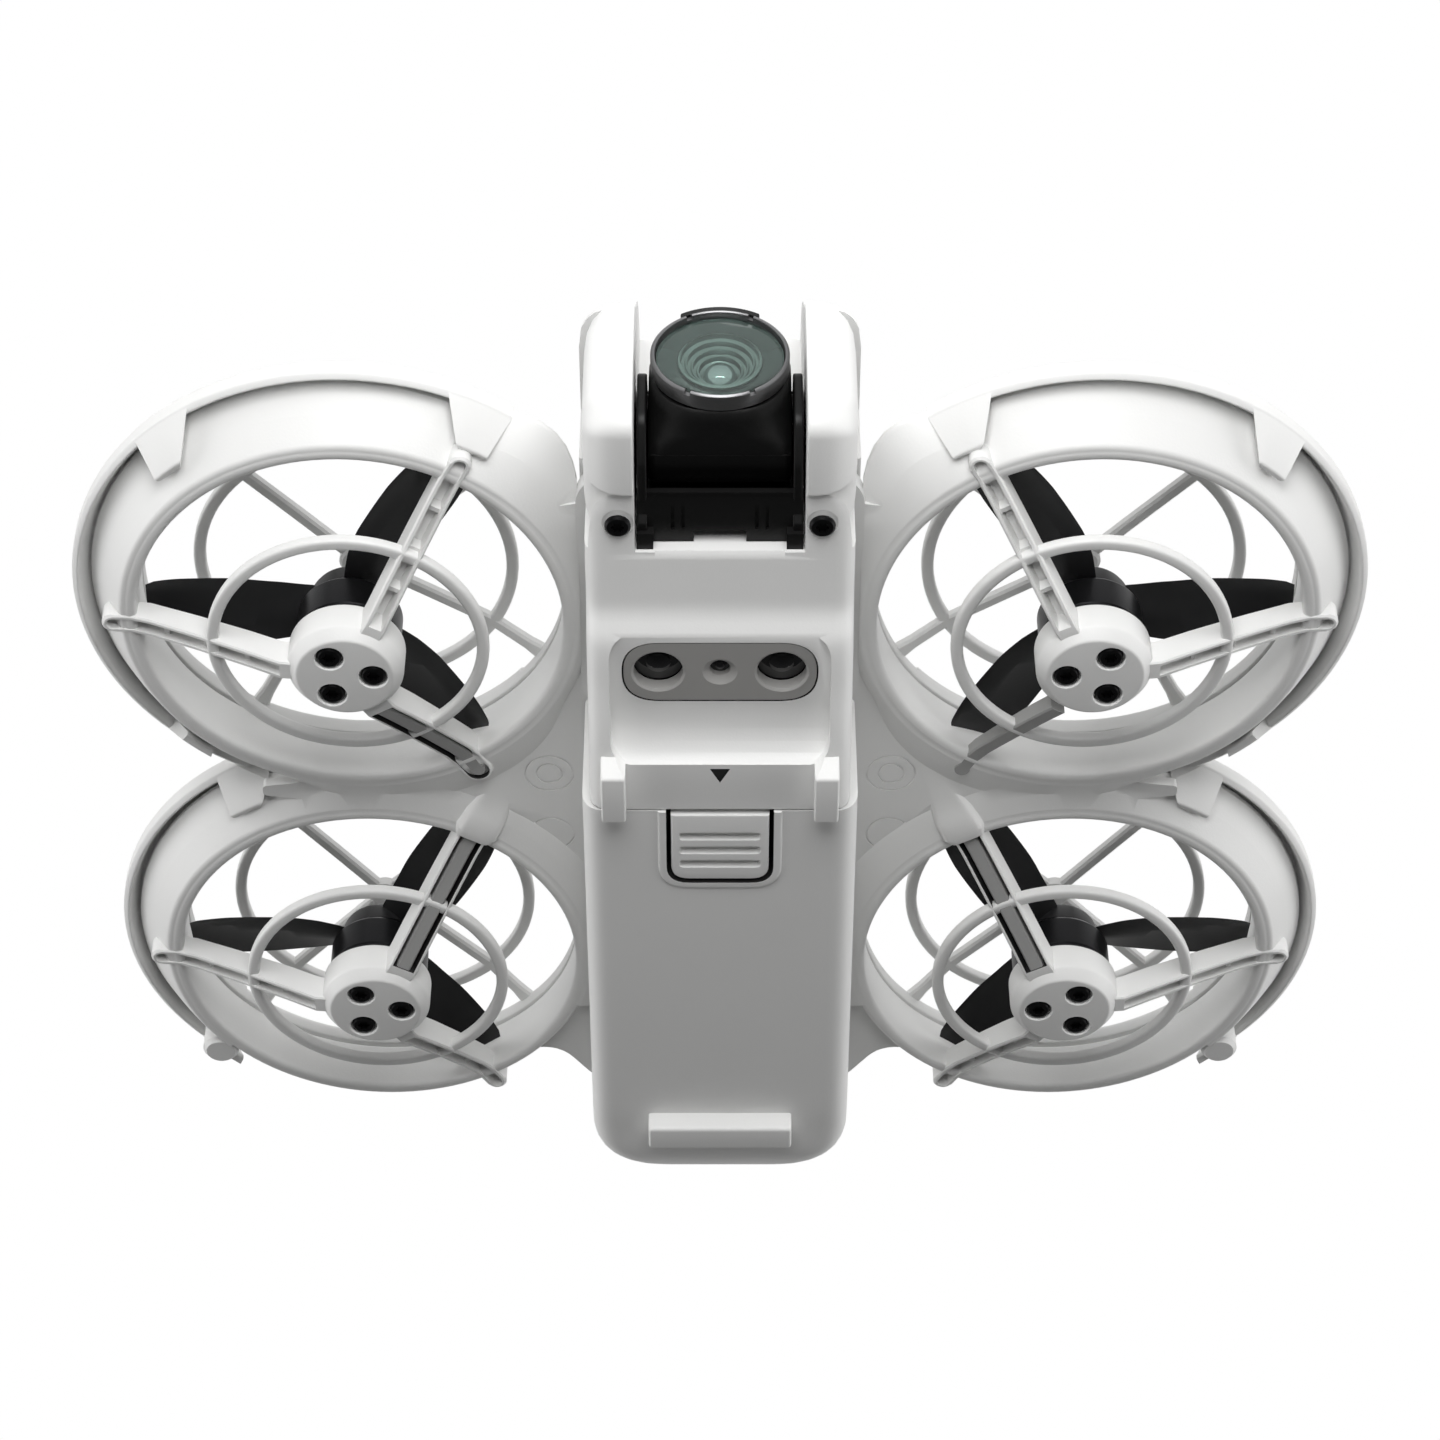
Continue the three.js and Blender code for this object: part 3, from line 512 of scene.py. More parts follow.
RIM_Z = 15.6
WEB_Z = 10.6
BODY_REACH = 28.2
RIM_HEIGHT = {"front": [(30, WEB_Z), (56, RIM_Z), (238, RIM_Z), (264, WEB_Z)],
              "rear": [(96, WEB_Z), (126, RIM_Z)]}
WALL = [(THROAT_R, 9.3, 0.8), (27.0, 9.3, 0.8), (28.0, 10.9, 0.8), (28.0, 12.0, 0.2), (27.0, 16.5, 0.4),
        (THROAT_R, 16.5, 0.4)]
CAP = [(32.9, 15.2, 0.2), (33.3, 14.7, 0.2), (GUARD_R, 15.3, 0.4), (GUARD_R, 17.4, 1.5), (32.4, 19.2, 1.5),
       (27.4, 20.0, 1.5), (THROAT_R, 19.4, 0.6), (THROAT_R, 17.0, 0.2), (26.6, 17.0, 0.2),
       (27.8, 18.4, 0.6),
       (32.0, 17.9, 0.6)]
LIGHT_RING = [(15.4, 5.2, 0.4), (16.9, 5.2, 0.5), (16.9, 6.7, 0.5), (15.4, 6.7, 0.4)]
GUARD_RING = [(18.35, 20.2, 0.4), (19.85, 20.2, 0.4), (19.85, 21.7, 0.5), (18.35, 21.7, 0.5)]
GUARD_LIP = [(THROAT_R, 17.0, 0.3), (27.2, 17.0, 0.4), (27.6, 19.4, 1.2), (THROAT_R, 19.3, 1.0)]
SWEEP_STEP = 3                   # degrees between the sections of a swept lip
BAR_ANGLES = {"front": (42, 132, 239, 329), "rear": (45, 127, 227, 315)}
STRUT_RISE = [(5.6, 0.9, 4.2), (7.8, 1.1, 4.9), (11.5, 2.9, 6.6), (18.0, 5.9, 9.3), (24.0, 8.5, 11.6),
              (26.4, 9.2, 12.0), (28.6, 9.3, 12.0)]


def swept(outlines, side, closed=False):
    """Skin through (angle, (radius, height) outline) pairs round the hub."""
    rings = [[ray(side, angle) @ Vector((r, 0, z)) for r, z in outline] for angle, outline in outlines]
    return loft(rings, closed)


def flange_outline(end, angle):
    """Section of the flared lip; towards the body it reaches further and lies flat."""
    reach, high = RIM_R, smooth_value(RIM_HEIGHT[end], angle)
    if end == "front" and (angle < 66 or angle > 300):
        turn = math.radians(angle)
        to_side = BODY_REACH / math.cos(turn)
        limit = 27.8 / max(math.sin(turn), 0.01) if angle < 66 else RIM_R
        reach = max(29.0, (to_side ** -7 + limit ** -7) ** (-1 / 7))
    bend = 29.8 + (reach - RIM_R) * 0.5
    back = min(28.7, reach - 2.2)
    return soft_outline([(THROAT_R + 0.6, 9.4, 0.4), (27.6, 9.4, 0.9),
                         (bend, 9.4 + (high - 9.4) * 0.5, 0.6),
                         (reach, high, 0.2), (reach, high + 0.9, 0.2), (reach - 0.9, high + 0.9, 0.2),
                         (back, high * 0.5 + 6.4, 0.4), (26.6, 12.4, 0.3)], 3)


def beam(half, trim_low, trim_high, first=0, last=None):
    """Straight bar along the strut's rise, with its lower edges eased."""
    rings = []
    for r, low, high in STRUT_RISE[first:last]:
        low, high = low + trim_low, high - trim_high
        rings.append([(r, -half, low + 0.2), (r, -half + 0.2, low), (r, half - 0.2, low),
                      (r, half, low + 0.2),
                      (r, half, high), (r, -half, high)])
    return loft(rings)


def strut(side, angle, wired):
    """Arm from the hub to past the throat, slotted underneath and round-ended."""
    half = 1.9 if wired else 1.35
    wall = 0.42 if wired else 0.55
    end_r, low, high = STRUT_RISE[-1]
    tip = capped_turn([(half - 0.3, low), (half, low + 0.3), (half, high)], 32, (end_r, 0, 0))
    arm = combine(beam(half, 0, 0), [tip])
    inner = half - wall
    slot = combine(beam(inner, -3, 0.9, 1), [capped_turn([(inner, low - 3), (inner, high - 0.9)], 32,
                                                         (end_r, 0, 0))])
    # The wired strut's slot is cut by a marked cutter, so its walls carry near-black painted shade; the open
    # struts' slots stay white.
    arm = combine(arm, [paint_slot_shade(slot) if wired else slot], "DIFFERENCE")
    if not wired:
        ribs = [box(r - 0.3, r + 0.3, -inner - 0.1, inner + 0.1, z, z + 1.6) for r,
                z in ((12, 4.1), (17, 6.4), (22, 8.5))]
        arm = combine(arm, ribs)
    return moved(arm, ray(side, angle))


def hub_cup():
    outline = soft_outline([(0.02, 0, 0), (5.8, 0, 0.5), (6.95, 1.5, 0.8), (6.95, 5.3, 0.3),
                            (6.5, 5.3, 0.1), (6.5, 4.3, 0.1),
                            (5.6, 4.1, 0.3), (5.6, 1.8, 0.3), (0.02, 1.8, 0)], 3)
    return turned(outline, 72)


def screw_spots(side):
    return [(SCREW_CIRCLE * math.cos(heading(side, angle)), SCREW_CIRCLE * math.sin(heading(side, angle)))
            for angle in (0, 120, 240)]


class DRONE_OT_lower_frame(bpy.types.Operator):
    """Builds the two lower frame halves: shrouds, flanges, hubs, struts, light rings and webs."""

    bl_idname = "drone.lower_frame"
    bl_label = "Lower frame"

    def shroud(self, place, end, side):
        parts = [turned(soft_outline(WALL, 3), 120)]
        first, last = (0, 358) if end == "front" else (-20, 221)
        lips = [(angle, flange_outline(end, angle)) for angle in range(first, last, SWEEP_STEP)]
        parts.append(swept(lips, side, closed=end == "front"))
        if end == "rear":
            tip = ray(side, last - 1) @ Vector((29.4, 0, 0))
            parts.append(capped_turn([(1.9, 9.6), (2.4, 10.2), (2.4, 15.8), (2.2, 16.3)], 32, tip))
        parts += [strut(side, angle, angle == WIRED_STRUT[end]) for angle in STRUT_ANGLES]
        parts.append(turned(soft_outline(LIGHT_RING, 3), 96))
        if end == "rear":
            parts.append(moved(self.wire_boss(), ray(side, WIRED_STRUT[end])))
        return [on_station(part, place) for part in parts]

    def wire_boss(self):
        """Cone that grows out of the web round the outer end of a wired strut."""
        rings = []
        for r, half, low in ((26.2, 2.2, 8.6), (27.5, 2.6, 8.3), (30.0, 2.4, 9.2), (33.0, 1.6, 10.6),
                             (34.5, 0.8, 11.2)):
            rings.append([(r, t, z) for t, z in soft_outline([(-half, low, 1.2), (half, low, 1.2),
                                                              (half + 1.2, 12, 0.2),
                                                              (-half - 1.2, 12, 0.2)], 4)])
        return loft(rings)

    def hub(self, place, side):
        cup = on_station(hub_cup(), place)
        wells = []
        for x, y in screw_spots(side):
            well = capped_turn([(1.85, -1.0), (1.85, 0.0), (1.72, 0.14), (1.72, 0.9)], 32, (x, y, 0))
            wells.append(on_station(well, place))
        return combine(cup, wells, "DIFFERENCE")

    def web(self, side):
        """Flat web between the two shrouds and the body, with the throats cut out."""
        front, rear = HUBS["front_left"], HUBS["rear_left"]
        outline = soft_outline([(16.9, front.y - 18, 0), (23, front.y - 17, 1), (26, front.y, 0),
                                (33, front.y + 14, 0),
                                (46, MID_Y - 2.4, 0), (57.5, MID_Y - 0.8, 0.6), (57.5, MID_Y + 0.8, 0.6),
                                (46, MID_Y + 2.4, 0),
                                (33, rear.y - 14, 0), (26, rear.y, 0), (28, rear.y + 19.5, 2),
                                (21.5, rear.y + 18.8, 5),
                                (16.9, rear.y + 25, 0.5)], 6)
        sheet = plate([(side * x, y) for x, y in outline], HUB_Z + WEB_Z, HUB_Z + 12.0)
        holes = [capped_turn([(26.0, 5), (26.0, 15)], 120, (side * abs(hub.x), hub.y,
                                                            HUB_Z)) for hub in (front, rear)]
        marks = []
        for y, r in ((front.y + 26.5, 2.9), (front.y + 26.5, 1.5), (rear.y - 22, 2.7)):
            ring = turned([(r, WEB_Z - 0.2), (r + 0.22, WEB_Z - 0.2), (r + 0.22, WEB_Z + 0.15),
                           (r, WEB_Z + 0.15)], 48,
                          (side * 21.4, y, HUB_Z))
            marks.append(ring)
        return combine(sheet, [*holes, *marks], "DIFFERENCE")

    def execute(self, context):
        white, dark = white_plastic(), look("painted slot shade")
        for hand, side in SIDES.items():
            parts = [self.web(side)]
            for end in ENDS:
                place = f"{end}_{hand}"
                parts += self.shroud(place, end, side)
                parts.append(self.hub(place, side))
            whole = combine(parts[0], parts[1:])
            sliced(whole, (side * 16.8, 0, 0), (-side, 0, 0))
            piece(f"lower_frame_{hand}", whole, [white, dark], "airframe",
                  [f"duct_front_{hand}", f"duct_rear_{hand}"])
        return {"FINISHED"}


class DRONE_OT_wire_covers(bpy.types.Operator):
    """Builds the cover strip over the motor wires in one strut of each duct."""

    bl_idname = "drone.wire_covers"
    bl_label = "Wire covers"

    def execute(self, context):
        grey = look("wire cover")
        for place, end, side in PLACES:
            reach = None if end == "front" else -1
            strip = beam(0.95, 0.15, 1.2, 1, reach)
            if end == "front":
                end_r, low, high = STRUT_RISE[-1]
                strip = combine(strip, [capped_turn([(0.95, low + 0.15), (0.95, high - 1.2)], 32,
                                                    (end_r, 0, 0))])
            strip = moved(strip, ray(side, WIRED_STRUT[end]))
            piece(f"wire_cover_{place}", on_station(strip, place), [grey], "airframe")
        return {"FINISHED"}


class DRONE_OT_guards(bpy.types.Operator):
    """Builds the four clip-on guards with their rings, bars and hooks."""

    bl_idname = "drone.guards"
    bl_label = "Guards"

    def bar(self, side, angle):
        rings = []
        for r, low, tall, half in ((1.0, 20.7, 1.5, 0.75), (10, 20.5, 1.5, 0.75), (19.1, 20.2, 1.5, 0.75),
                                   (24, 18.9, 1.5, 0.8), (26.8, 18.1, 1.4, 1.2)):
            rings.append([(r, -half, low + 0.3), (r, -half + 0.3, low), (r, half - 0.3, low),
                          (r, half, low + 0.3),
                          (r, half, low + tall - 0.4), (r, half - 0.4, low + tall),
                          (r, -half + 0.4, low + tall),
                          (r, -half, low + tall - 0.4)])
        return moved(loft(rings), ray(side, angle))

    def hook(self, side, corners):
        """Tab that wraps the flange edge and grips it from below, trimmed to (inward, rearward) corners."""
        section = soft_outline([(RIM_R + 0.4, 17.6, 0), (GUARD_R, 17.4, 0.2), (GUARD_R, 15.4, 1.2),
                                (30.4, 10.6, 0.4),
                                (29.6, 11.0, 0.2), (29.7, 11.7, 0.3), (RIM_R + 0.4, 15.4, 0.6)], 3)
        plan = plate([(-side * a, b) for a, b in soft_outline([(*corner, 0.5) for corner in corners], 4)],
                     8, 19)
        return combine(turned(section, 120), [plan], "INTERSECT")

    def execute(self, context):
        white = white_plastic()
        tabs = {"front": (((14.2, -26.0), (17.1, -24.7), (20.6, -27.4), (19.6, -32), (12.6, -33)),
                          ((-18.4, -23.2), (-21.0, -21.2), (-24.4, -24.0), (-24.0, -28), (-17.0, -32)),
                          ((-21.0, 19.6), (-18.2, 21.6), (-20.6, 28), (-26, 24))),
                "rear": (((-13.6, -26.4), (-17.0, -24.4), (-19.5, -27.5), (-15, -33), (-12, -31)),
                         ((-22.0, 18.6), (-19.4, 21.2), (-22.4, 26.2), (-26, 22)))}
        for place, end, side in PLACES:
            parts = [turned(soft_outline(GUARD_LIP, 4), 120)]
            start, last = (53, 320) if end == "front" else (40, 222)
            parts.append(swept([(angle, soft_outline(CAP, 3)) for angle in range(start, last + 1,
                                                                                 SWEEP_STEP)], side))
            parts.append(turned(soft_outline(GUARD_RING, 3), 96))
            parts += [self.bar(side, angle) for angle in BAR_ANGLES[end]]
            parts.append(capped_turn([(1.7, 20.4), (2.1, 20.7), (2.1, 21.9), (1.6, 22.4)], 32))
            parts += [self.hook(side, corners) for corners in tabs[end]]
            parts = [on_station(part, place) for part in parts]
            whole = combine(parts[0], parts[1:])
            sliced(whole, (side * 17.3, 0, 0), (-side, 0, 0))
            away = 1 if end == "front" else -1
            sliced(whole, (0, MID_Y - away * 0.15, 0), (0, away, 0))
            piece(f"upper_guard_{place}", whole, [white], "airframe", [f"guard_{place}"])
        return {"FINISHED"}


# ------------------------------------------------------------------ rotors
class DRONE_OT_motors(bpy.types.Operator):
    """Builds the motor bells and gives the stators their copper."""

    bl_idname = "drone.motors"
    bl_label = "Motors"

    def execute(self, context):
        metal, shaft = look("anodised bell"), look("shaft steel")
        outline = soft_outline([(0.85, 10.4, 0), (5.4, 10.4, 0.2), (5.55, 4.6, 0.1), (6.1, 4.6, 0.2),
                                (6.3, 5.0, 0.1),
                                (6.3, 5.9, 0), (6.15, 6.05, 0), (6.15, 6.3, 0), (6.3, 6.45, 0),
                                (6.3, 10.6, 0.3),
                                (5.7, 11.4, 0.4), (4.6, 11.5, 0.1), (0.85, 11.5, 0)], 3)
        for place, _, _ in PLACES:
            bell = on_station(turned(outline, 96), place)
            piece(f"bell_{place}", bell, [metal], f"rotor_{place}", [f"motor_bell_{place}"])
            pin = capped_turn([(0.6, 3.0), (0.8, 3.2), (0.8, 11.3), (0.6, 11.5)], 32)
            piece(f"shaft_{place}", on_station(pin, place), [shaft], f"rotor_{place}")
            repaint(f"motor_stator_{place}", look("enamelled copper"))
        return {"FINISHED"}


class DRONE_OT_propellers(bpy.types.Operator):
    """Builds the four three-blade propellers, mirrored for opposite spins."""

    bl_idname = "drone.propellers"
    bl_label = "Propellers"

    def blade(self, spin):
        rotor = settings("rotor")
        stations, around = 22, 16
        root = 2.6
        rings = []
        for i in range(stations):
            s = i / (stations - 1)
            r = root + s * (rotor.tip_radius - root)
            chord = smooth_value([(0, rotor.root_chord), (0.12, 8), (0.3, rotor.full_chord - 0.5),
                                  (0.5, rotor.full_chord),
                                  (0.8, rotor.tip_chord + 1.2), (0.97, rotor.tip_chord - 1),
                                  (1, rotor.tip_chord - 2)], s)
            pitch = rotor.root_pitch + (rotor.tip_pitch - rotor.root_pitch) * s ** 0.8
            thick = 1.5 - 0.85 * s
            sweep = smooth_value([(0, -0.5), (0.3, -2.8), (0.55, -2.4), (1, -0.6)], s)
            camber = 0.07 * chord
            ring = []
            for k in range(around):
                turn = 2 * math.pi * k / around
                c = math.cos(turn) / 2
                h = math.sin(turn) * thick / 2 * (1 - 0.75 * abs(2 * c) ** 3)
                h = h + camber * (1 - (2 * c) ** 2) - camber * 0.5
                lead = c * chord + sweep
                ring.append((r, spin * (lead * math.cos(pitch) - h * math.sin(pitch)),
                             13.0 + lead * math.sin(pitch) + h * math.cos(pitch)))
            rings.append(ring)
        return loft(rings)

    def execute(self, context):
        plastic = look("propeller moulding")
        for place, end, side in PLACES:
            spin = -side if end == "front" else side
            cap = capped_turn([(4.6, 11.8), (5.0, 12.1), (5.0, 13.9), (4.7, 14.5), (3.4, 15.1),
                               (1.4, 15.35), (0.4, 15.4)], 64)
            parts = []
            for angle in STRUT_ANGLES:
                parts.append(moved(self.blade(spin), ray(side, angle)))
            whole = combine(cap, parts)
            sliced(whole, (0, 0, 11.8), (0, 0, -1))
            piece(f"prop_{place}", on_station(whole, place), [plastic], f"rotor_{place}",
                  [f"propeller_{place}"])
        return {"FINISHED"}


def screw_head(radius, depth):
    """Round head facing down with a six-lobe socket."""
    head = capped_turn([(radius - 0.25, 0.0), (radius, 0.22), (radius, depth), (0.6, depth),
                        (0.6, depth + 1.2)], 40)
    lobes = []
    for i in range(72):
        turn = 2 * math.pi * i / 72
        r = radius * (0.46 + 0.08 * math.cos(6 * turn))
        lobes.append((r * math.cos(turn), r * math.sin(turn)))
    return combine(head, [plate(lobes, -1.0, depth * 0.75)], "DIFFERENCE")


class DRONE_OT_screws(bpy.types.Operator):
    """Builds the motor screws and the two belly cover screws."""

    bl_idname = "drone.screws"
    bl_label = "Screws"

    def execute(self, context):
        metal = look("blackened screw")
        for place, _, side in PLACES:
            for i, (x, y) in enumerate(screw_spots(side), 1):
                screw = moved(screw_head(1.5, 0.6), Matrix.Translation((x, y, 0.12)))
                piece(f"screw_{place}_{i}", on_station(screw, place), [metal], "airframe",
                      [f"motor_screw_{place}_{i}"])
        for hand in SIDES:
            low, high = node_box(f"cover_screw_{hand}")
            spot = ((low.x + high.x) / 2, (low.y + high.y) / 2, low.z)
            piece(f"belly_screw_{hand}", moved(screw_head(1.5, 0.5), Matrix.Translation(spot)), [metal],
                  "airframe",
                  [f"cover_screw_{hand}"])
        return {"FINISHED"}


# ------------------------------------------------------------------ body shells
def section_ring(half, low, high, low_radius, high_radius, y, steps=6):
    """Rounded section across the body at one y."""
    outline = soft_outline([(-half, low, low_radius), (half, low, low_radius), (half, high, high_radius),
                            (-half, high, high_radius)], steps)
    return [(x, y, z) for x, z in outline]


def eased(near, far, count):
    """Places from near to far that crowd towards far, for a rounded end."""
    return [near + (far - near) * math.sin(math.pi / 2 * i / count) for i in range(1, count + 1)]


def drop(radius, into):
    """How far a round of this radius has pulled in, a distance past where it starts."""
    into = max(0.0, min(into, radius))
    return radius - math.sqrt(radius * radius - into * into)


class DRONE_OT_top_shell(bpy.types.Operator):
    """Builds the top shell with its two horns beside the camera, button wells, charge lights and port."""

    bl_idname = "drone.top_shell"
    bl_label = "Top shell"

    def hull(self):
        low, high = SHELL
        front, back, top = low.y, high.y, high.z
        crown = [(front, 34.6), (front + 2.6, 38.4), (front + 7.4, 43.6), (front + 13.6, 47.2),
                 (front + 21, top - 0.05),
                 (front + 40, top), (front + 62, top - 0.1), (back - 24, 45.8), (back - 8, 41.0),
                 (back - 2.4, 35.6), (back, 30.5)]
        places = [front, front + 0.8, front + 1.6, front + 3]
        places += [front + 3 + i * 3 for i in range(1, 7)]
        places += [front + 21 + (back - 12 - front - 21) * i / 16 for i in range(1, 17)]
        places += eased(back - 12, back, 10)
        rings = []
        for y in places:
            half = high.x - drop(5, front + 5 - y) * 0.5 - drop(11, y - (back - 11)) * 0.55
            crest = smooth_value(crown, y)
            share = 0.48 + 0.38 * max(0, min(1, (front + 26 - y) / 8))
            rings.append(section_ring(half, low.z, crest, 0.4, min(12.0, (crest - low.z) * share), y, 8))
        return loft(rings)

    def execute(self, context):
        white, dark = white_plastic(), look("painted slot shade")
        low, high = SHELL
        bay = box(-40, 40, low.y - 5, CHEEK[1].y + 0.3, 0, CHEEK[1].z + 0.3)
        notch = box(-BAY_HALF, BAY_HALF, low.y - 5, CHEEK[1].y + 0.3, 0, 60)
        hollow = across([(CHEEK[1].y + 3, 0), (CHEEK[1].y + 3, 33), (high.y - 8, 33), (high.y - 8, 0)],
                        -14.4, 14.4)
        upper_hollow = box(-11, 11, CHEEK[1].y + 3, high.y - 18, 30, 40)
        shell = combine(self.hull(), [bay, notch, hollow, upper_hollow], "DIFFERENCE")
        cutters = []
        for key in ("power_button", "mode_button"):
            a, b = node_box(key)
            cutters.append(capped_turn([(b.x + 0.35, high.z - 5.4), (b.x + 0.35, high.z + 1)], 64,
                                       (0, (a.y + b.y) / 2, 0)))
        a, b = node_box("power_button")
        for i in range(4):
            cutters.append(capped_turn([(0.45, high.z - 1.2), (0.45, high.z + 1)], 20,
                                       (-3.6 + 2.4 * i, b.y + 4.2, 0)))
        board = node_box("main_board")[1]
        cutters.append(plate(soft_outline([(-4.6, board.y - 9, 0), (4.6, board.y - 9, 0),
                                           (4.6, high.y + 4, 0),
                                           (-4.6, high.y + 4, 0)], 1), board.z - 2.9, board.z + 0.35))
        # The button wells, charge light holes and port are cut by marked cutters, so their walls carry
        # near-black painted shade.
        shell = combine(shell, [paint_slot_shade(cutter) for cutter in cutters], "DIFFERENCE")
        piece("body_shell", shell, [white, dark], "airframe", ["top_shell"], smooth=30)
        return {"FINISHED"}


class DRONE_OT_buttons(bpy.types.Operator):
    """Builds the power and mode buttons, each with a dished top."""

    bl_idname = "drone.buttons"
    bl_label = "Buttons"

    def execute(self, context):
        white = white_plastic()
        for key, body in (("power_button", "power_key"), ("mode_button", "mode_key")):
            low, high = node_box(key)
            r, top = high.x, high.z
            outline = [(r - 0.3, low.z), (r, low.z + 0.3), (r, top - 0.45), (r - 0.15, top - 0.15),
                       (r - 0.5, top),
                       (r - 1.0, top - 0.05), (r - 1.6, top - 0.35), (r * 0.3, top - 0.5), (0.3, top - 0.5)]
            cap = capped_turn(outline, 64, (0, (low.y + high.y) / 2, 0))
            piece(f"{key}_cap", cap, [white], body, [key])
        return {"FINISHED"}


class DRONE_OT_cheeks(bpy.types.Operator):
    """Builds the two rounded nose cheeks beside the camera."""

    bl_idname = "drone.cheeks"
    bl_label = "Nose cheeks"

    def execute(self, context):
        white = white_plastic()
        for hand, side in SIDES.items():
            low, high = node_box(f"cheek_{hand}")
            nose, back, foot, top = low.y, high.y, low.z, high.z
            joint = node_box("belly_cover")[0].y - 0.2
            outline = soft_outline([(nose, foot + 3.2, 3.0), (nose, foot + 18.6, 4),
                                    (nose + 2.7, foot + 23.4, 3),
                                    (nose + 4.9, top, 1.0), (back, top, 0.3), (back, foot + 1.4, 0.2),
                                    (joint, foot + 1.4, 0.2), (joint, foot, 0.4), (nose + 2.6, foot, 2.6)],
                                    6)
            inner, outer = (high.x, low.x) if side < 0 else (low.x, high.x)
            bm = across(outline, inner, outer, 0.3, 4.6)
            piece(f"nose_cheek_{hand}", bm, [white], "airframe", [f"cheek_{hand}"],
                  smooth=40)
        return {"FINISHED"}


# ------------------------------------------------------------------ camera
def lens_axis(y):
    """Turns a piece's upright axis to run back along the lens axis from y."""
    return Matrix.Translation((0, y, TILT.z)) @ Matrix.Rotation(-math.pi / 2, 4, "X")


class DRONE_OT_camera_head(bpy.types.Operator):
    """Builds the tilting camera housing, its side brackets and the yoke behind it."""

    bl_idname = "drone.camera_head"
    bl_label = "Camera head"

    def yoke(self, black):
        """Cross piece that closes the back of the bay behind the turning housing."""
        back = CHEEK[1].y + 0.2
        reach = 9.0
        outline = [(TILT.y + 4, 10.9), (TILT.y + 4, 11.7), (TILT.y + reach - 0.6, 11.8),
                   (TILT.y + reach, 12.4)]
        outline += arc((TILT.y, TILT.z), reach, 0, 30, 6)
        outline += [(back, outline[-1][1]), (back, 10.2), (back - 4.4, 10.2), (back - 6.0, 11.0)]
        body = across(outline, -9.5, 9.5)
        notch = box(-3.0, 3.0, back - 1.6, back + 1, 0, 14)
        feet = [box(min(a, b), max(a, b), back - 2.2, back + 0.1, 8.9, 11) for a,
                b in ((-9.5, -7.6), (7.6, 9.5))]
        slits = [box(x - 0.2, x + 0.2, back - 6, back - 1.8, 9, 10.6) for x in (-5.4, -4.2, 4.2, 5.4)]
        body = combine(body, feet)
        piece("camera_yoke", combine(body, [notch, *slits], "DIFFERENCE"), [black], "airframe")

    def execute(self, context):
        black = black_plastic()
        low, high = node_box("camera_housing")
        front, half = low.y, 8.15
        radius = high.z - TILT.z
        body = across(arc((TILT.y, TILT.z), radius, -90, 90, 40), -half, half, 0.9, 0.9)
        stations = [(0, 7.5, 7.5, 7.45), (0.3, 7.8, 7.8, 7.7), (1.5, 8.05, 8.05, 7.4),
                    (3.2, half, 8.2, 5.8),
                    (TILT.y - front - 1.5, half, radius - 0.05, 3.0),
                    (TILT.y - front + 0.6, half, radius - 0.05, 1.4)]
        barrel = loft([section_ring(wide, TILT.z - tall, TILT.z + tall, round_, round_, front + back, 10)
                       for back, wide, tall, round_ in stations])
        bore = moved(capped_turn([(4.75, -3), (4.75, 3.4)], 64), lens_axis(front))
        axle = moved(capped_turn([(1.4, -9.2), (1.6, -9.0), (1.6, 9.0), (1.4, 9.2)], 40),
                     Matrix.Translation(TILT) @ Matrix.Rotation(math.pi / 2, 4, "Y"))
        piece("camera_body", combine(combine(body, [barrel, axle]), [bore], "DIFFERENCE"), [black],
              "camera", ["camera_housing"], smooth=40)
        for hand, side in SIDES.items():
            low, high = node_box(f"camera_bracket_{hand}")
            outline = soft_outline([(low.y + 6.2, low.z + 0.6, 2), (low.y + 1.2, low.z + 3.4, 2),
                                    (low.y + 1.2, TILT.z + 1, 2),
                                    (low.y + 6, TILT.z + 3.4, 3), (high.y - 5, high.z - 1, 3),
                                    (high.y, high.z - 3, 1),
                                    (high.y, low.z - 0.9, 0.6), (high.y - 2.6, low.z - 0.9, 0.6),
                                    (high.y - 4.2, low.z + 0.3, 0.6)], 5)
            arm = across(outline, low.x, high.x, 0.25, 0.25)
            hole = moved(capped_turn([(1.85, -3), (1.85, 3)], 40),
                         Matrix.Translation(((low.x + high.x) / 2, TILT.y, TILT.z))
                         @ Matrix.Rotation(math.pi / 2, 4, "Y"))
            piece(f"camera_arm_{hand}", combine(arm, [hole], "DIFFERENCE"), [black], "airframe",
                  [f"camera_bracket_{hand}"])
        self.yoke(black)
        repaint("tilt_motor", look("anodised bell"))
        return {"FINISHED"}


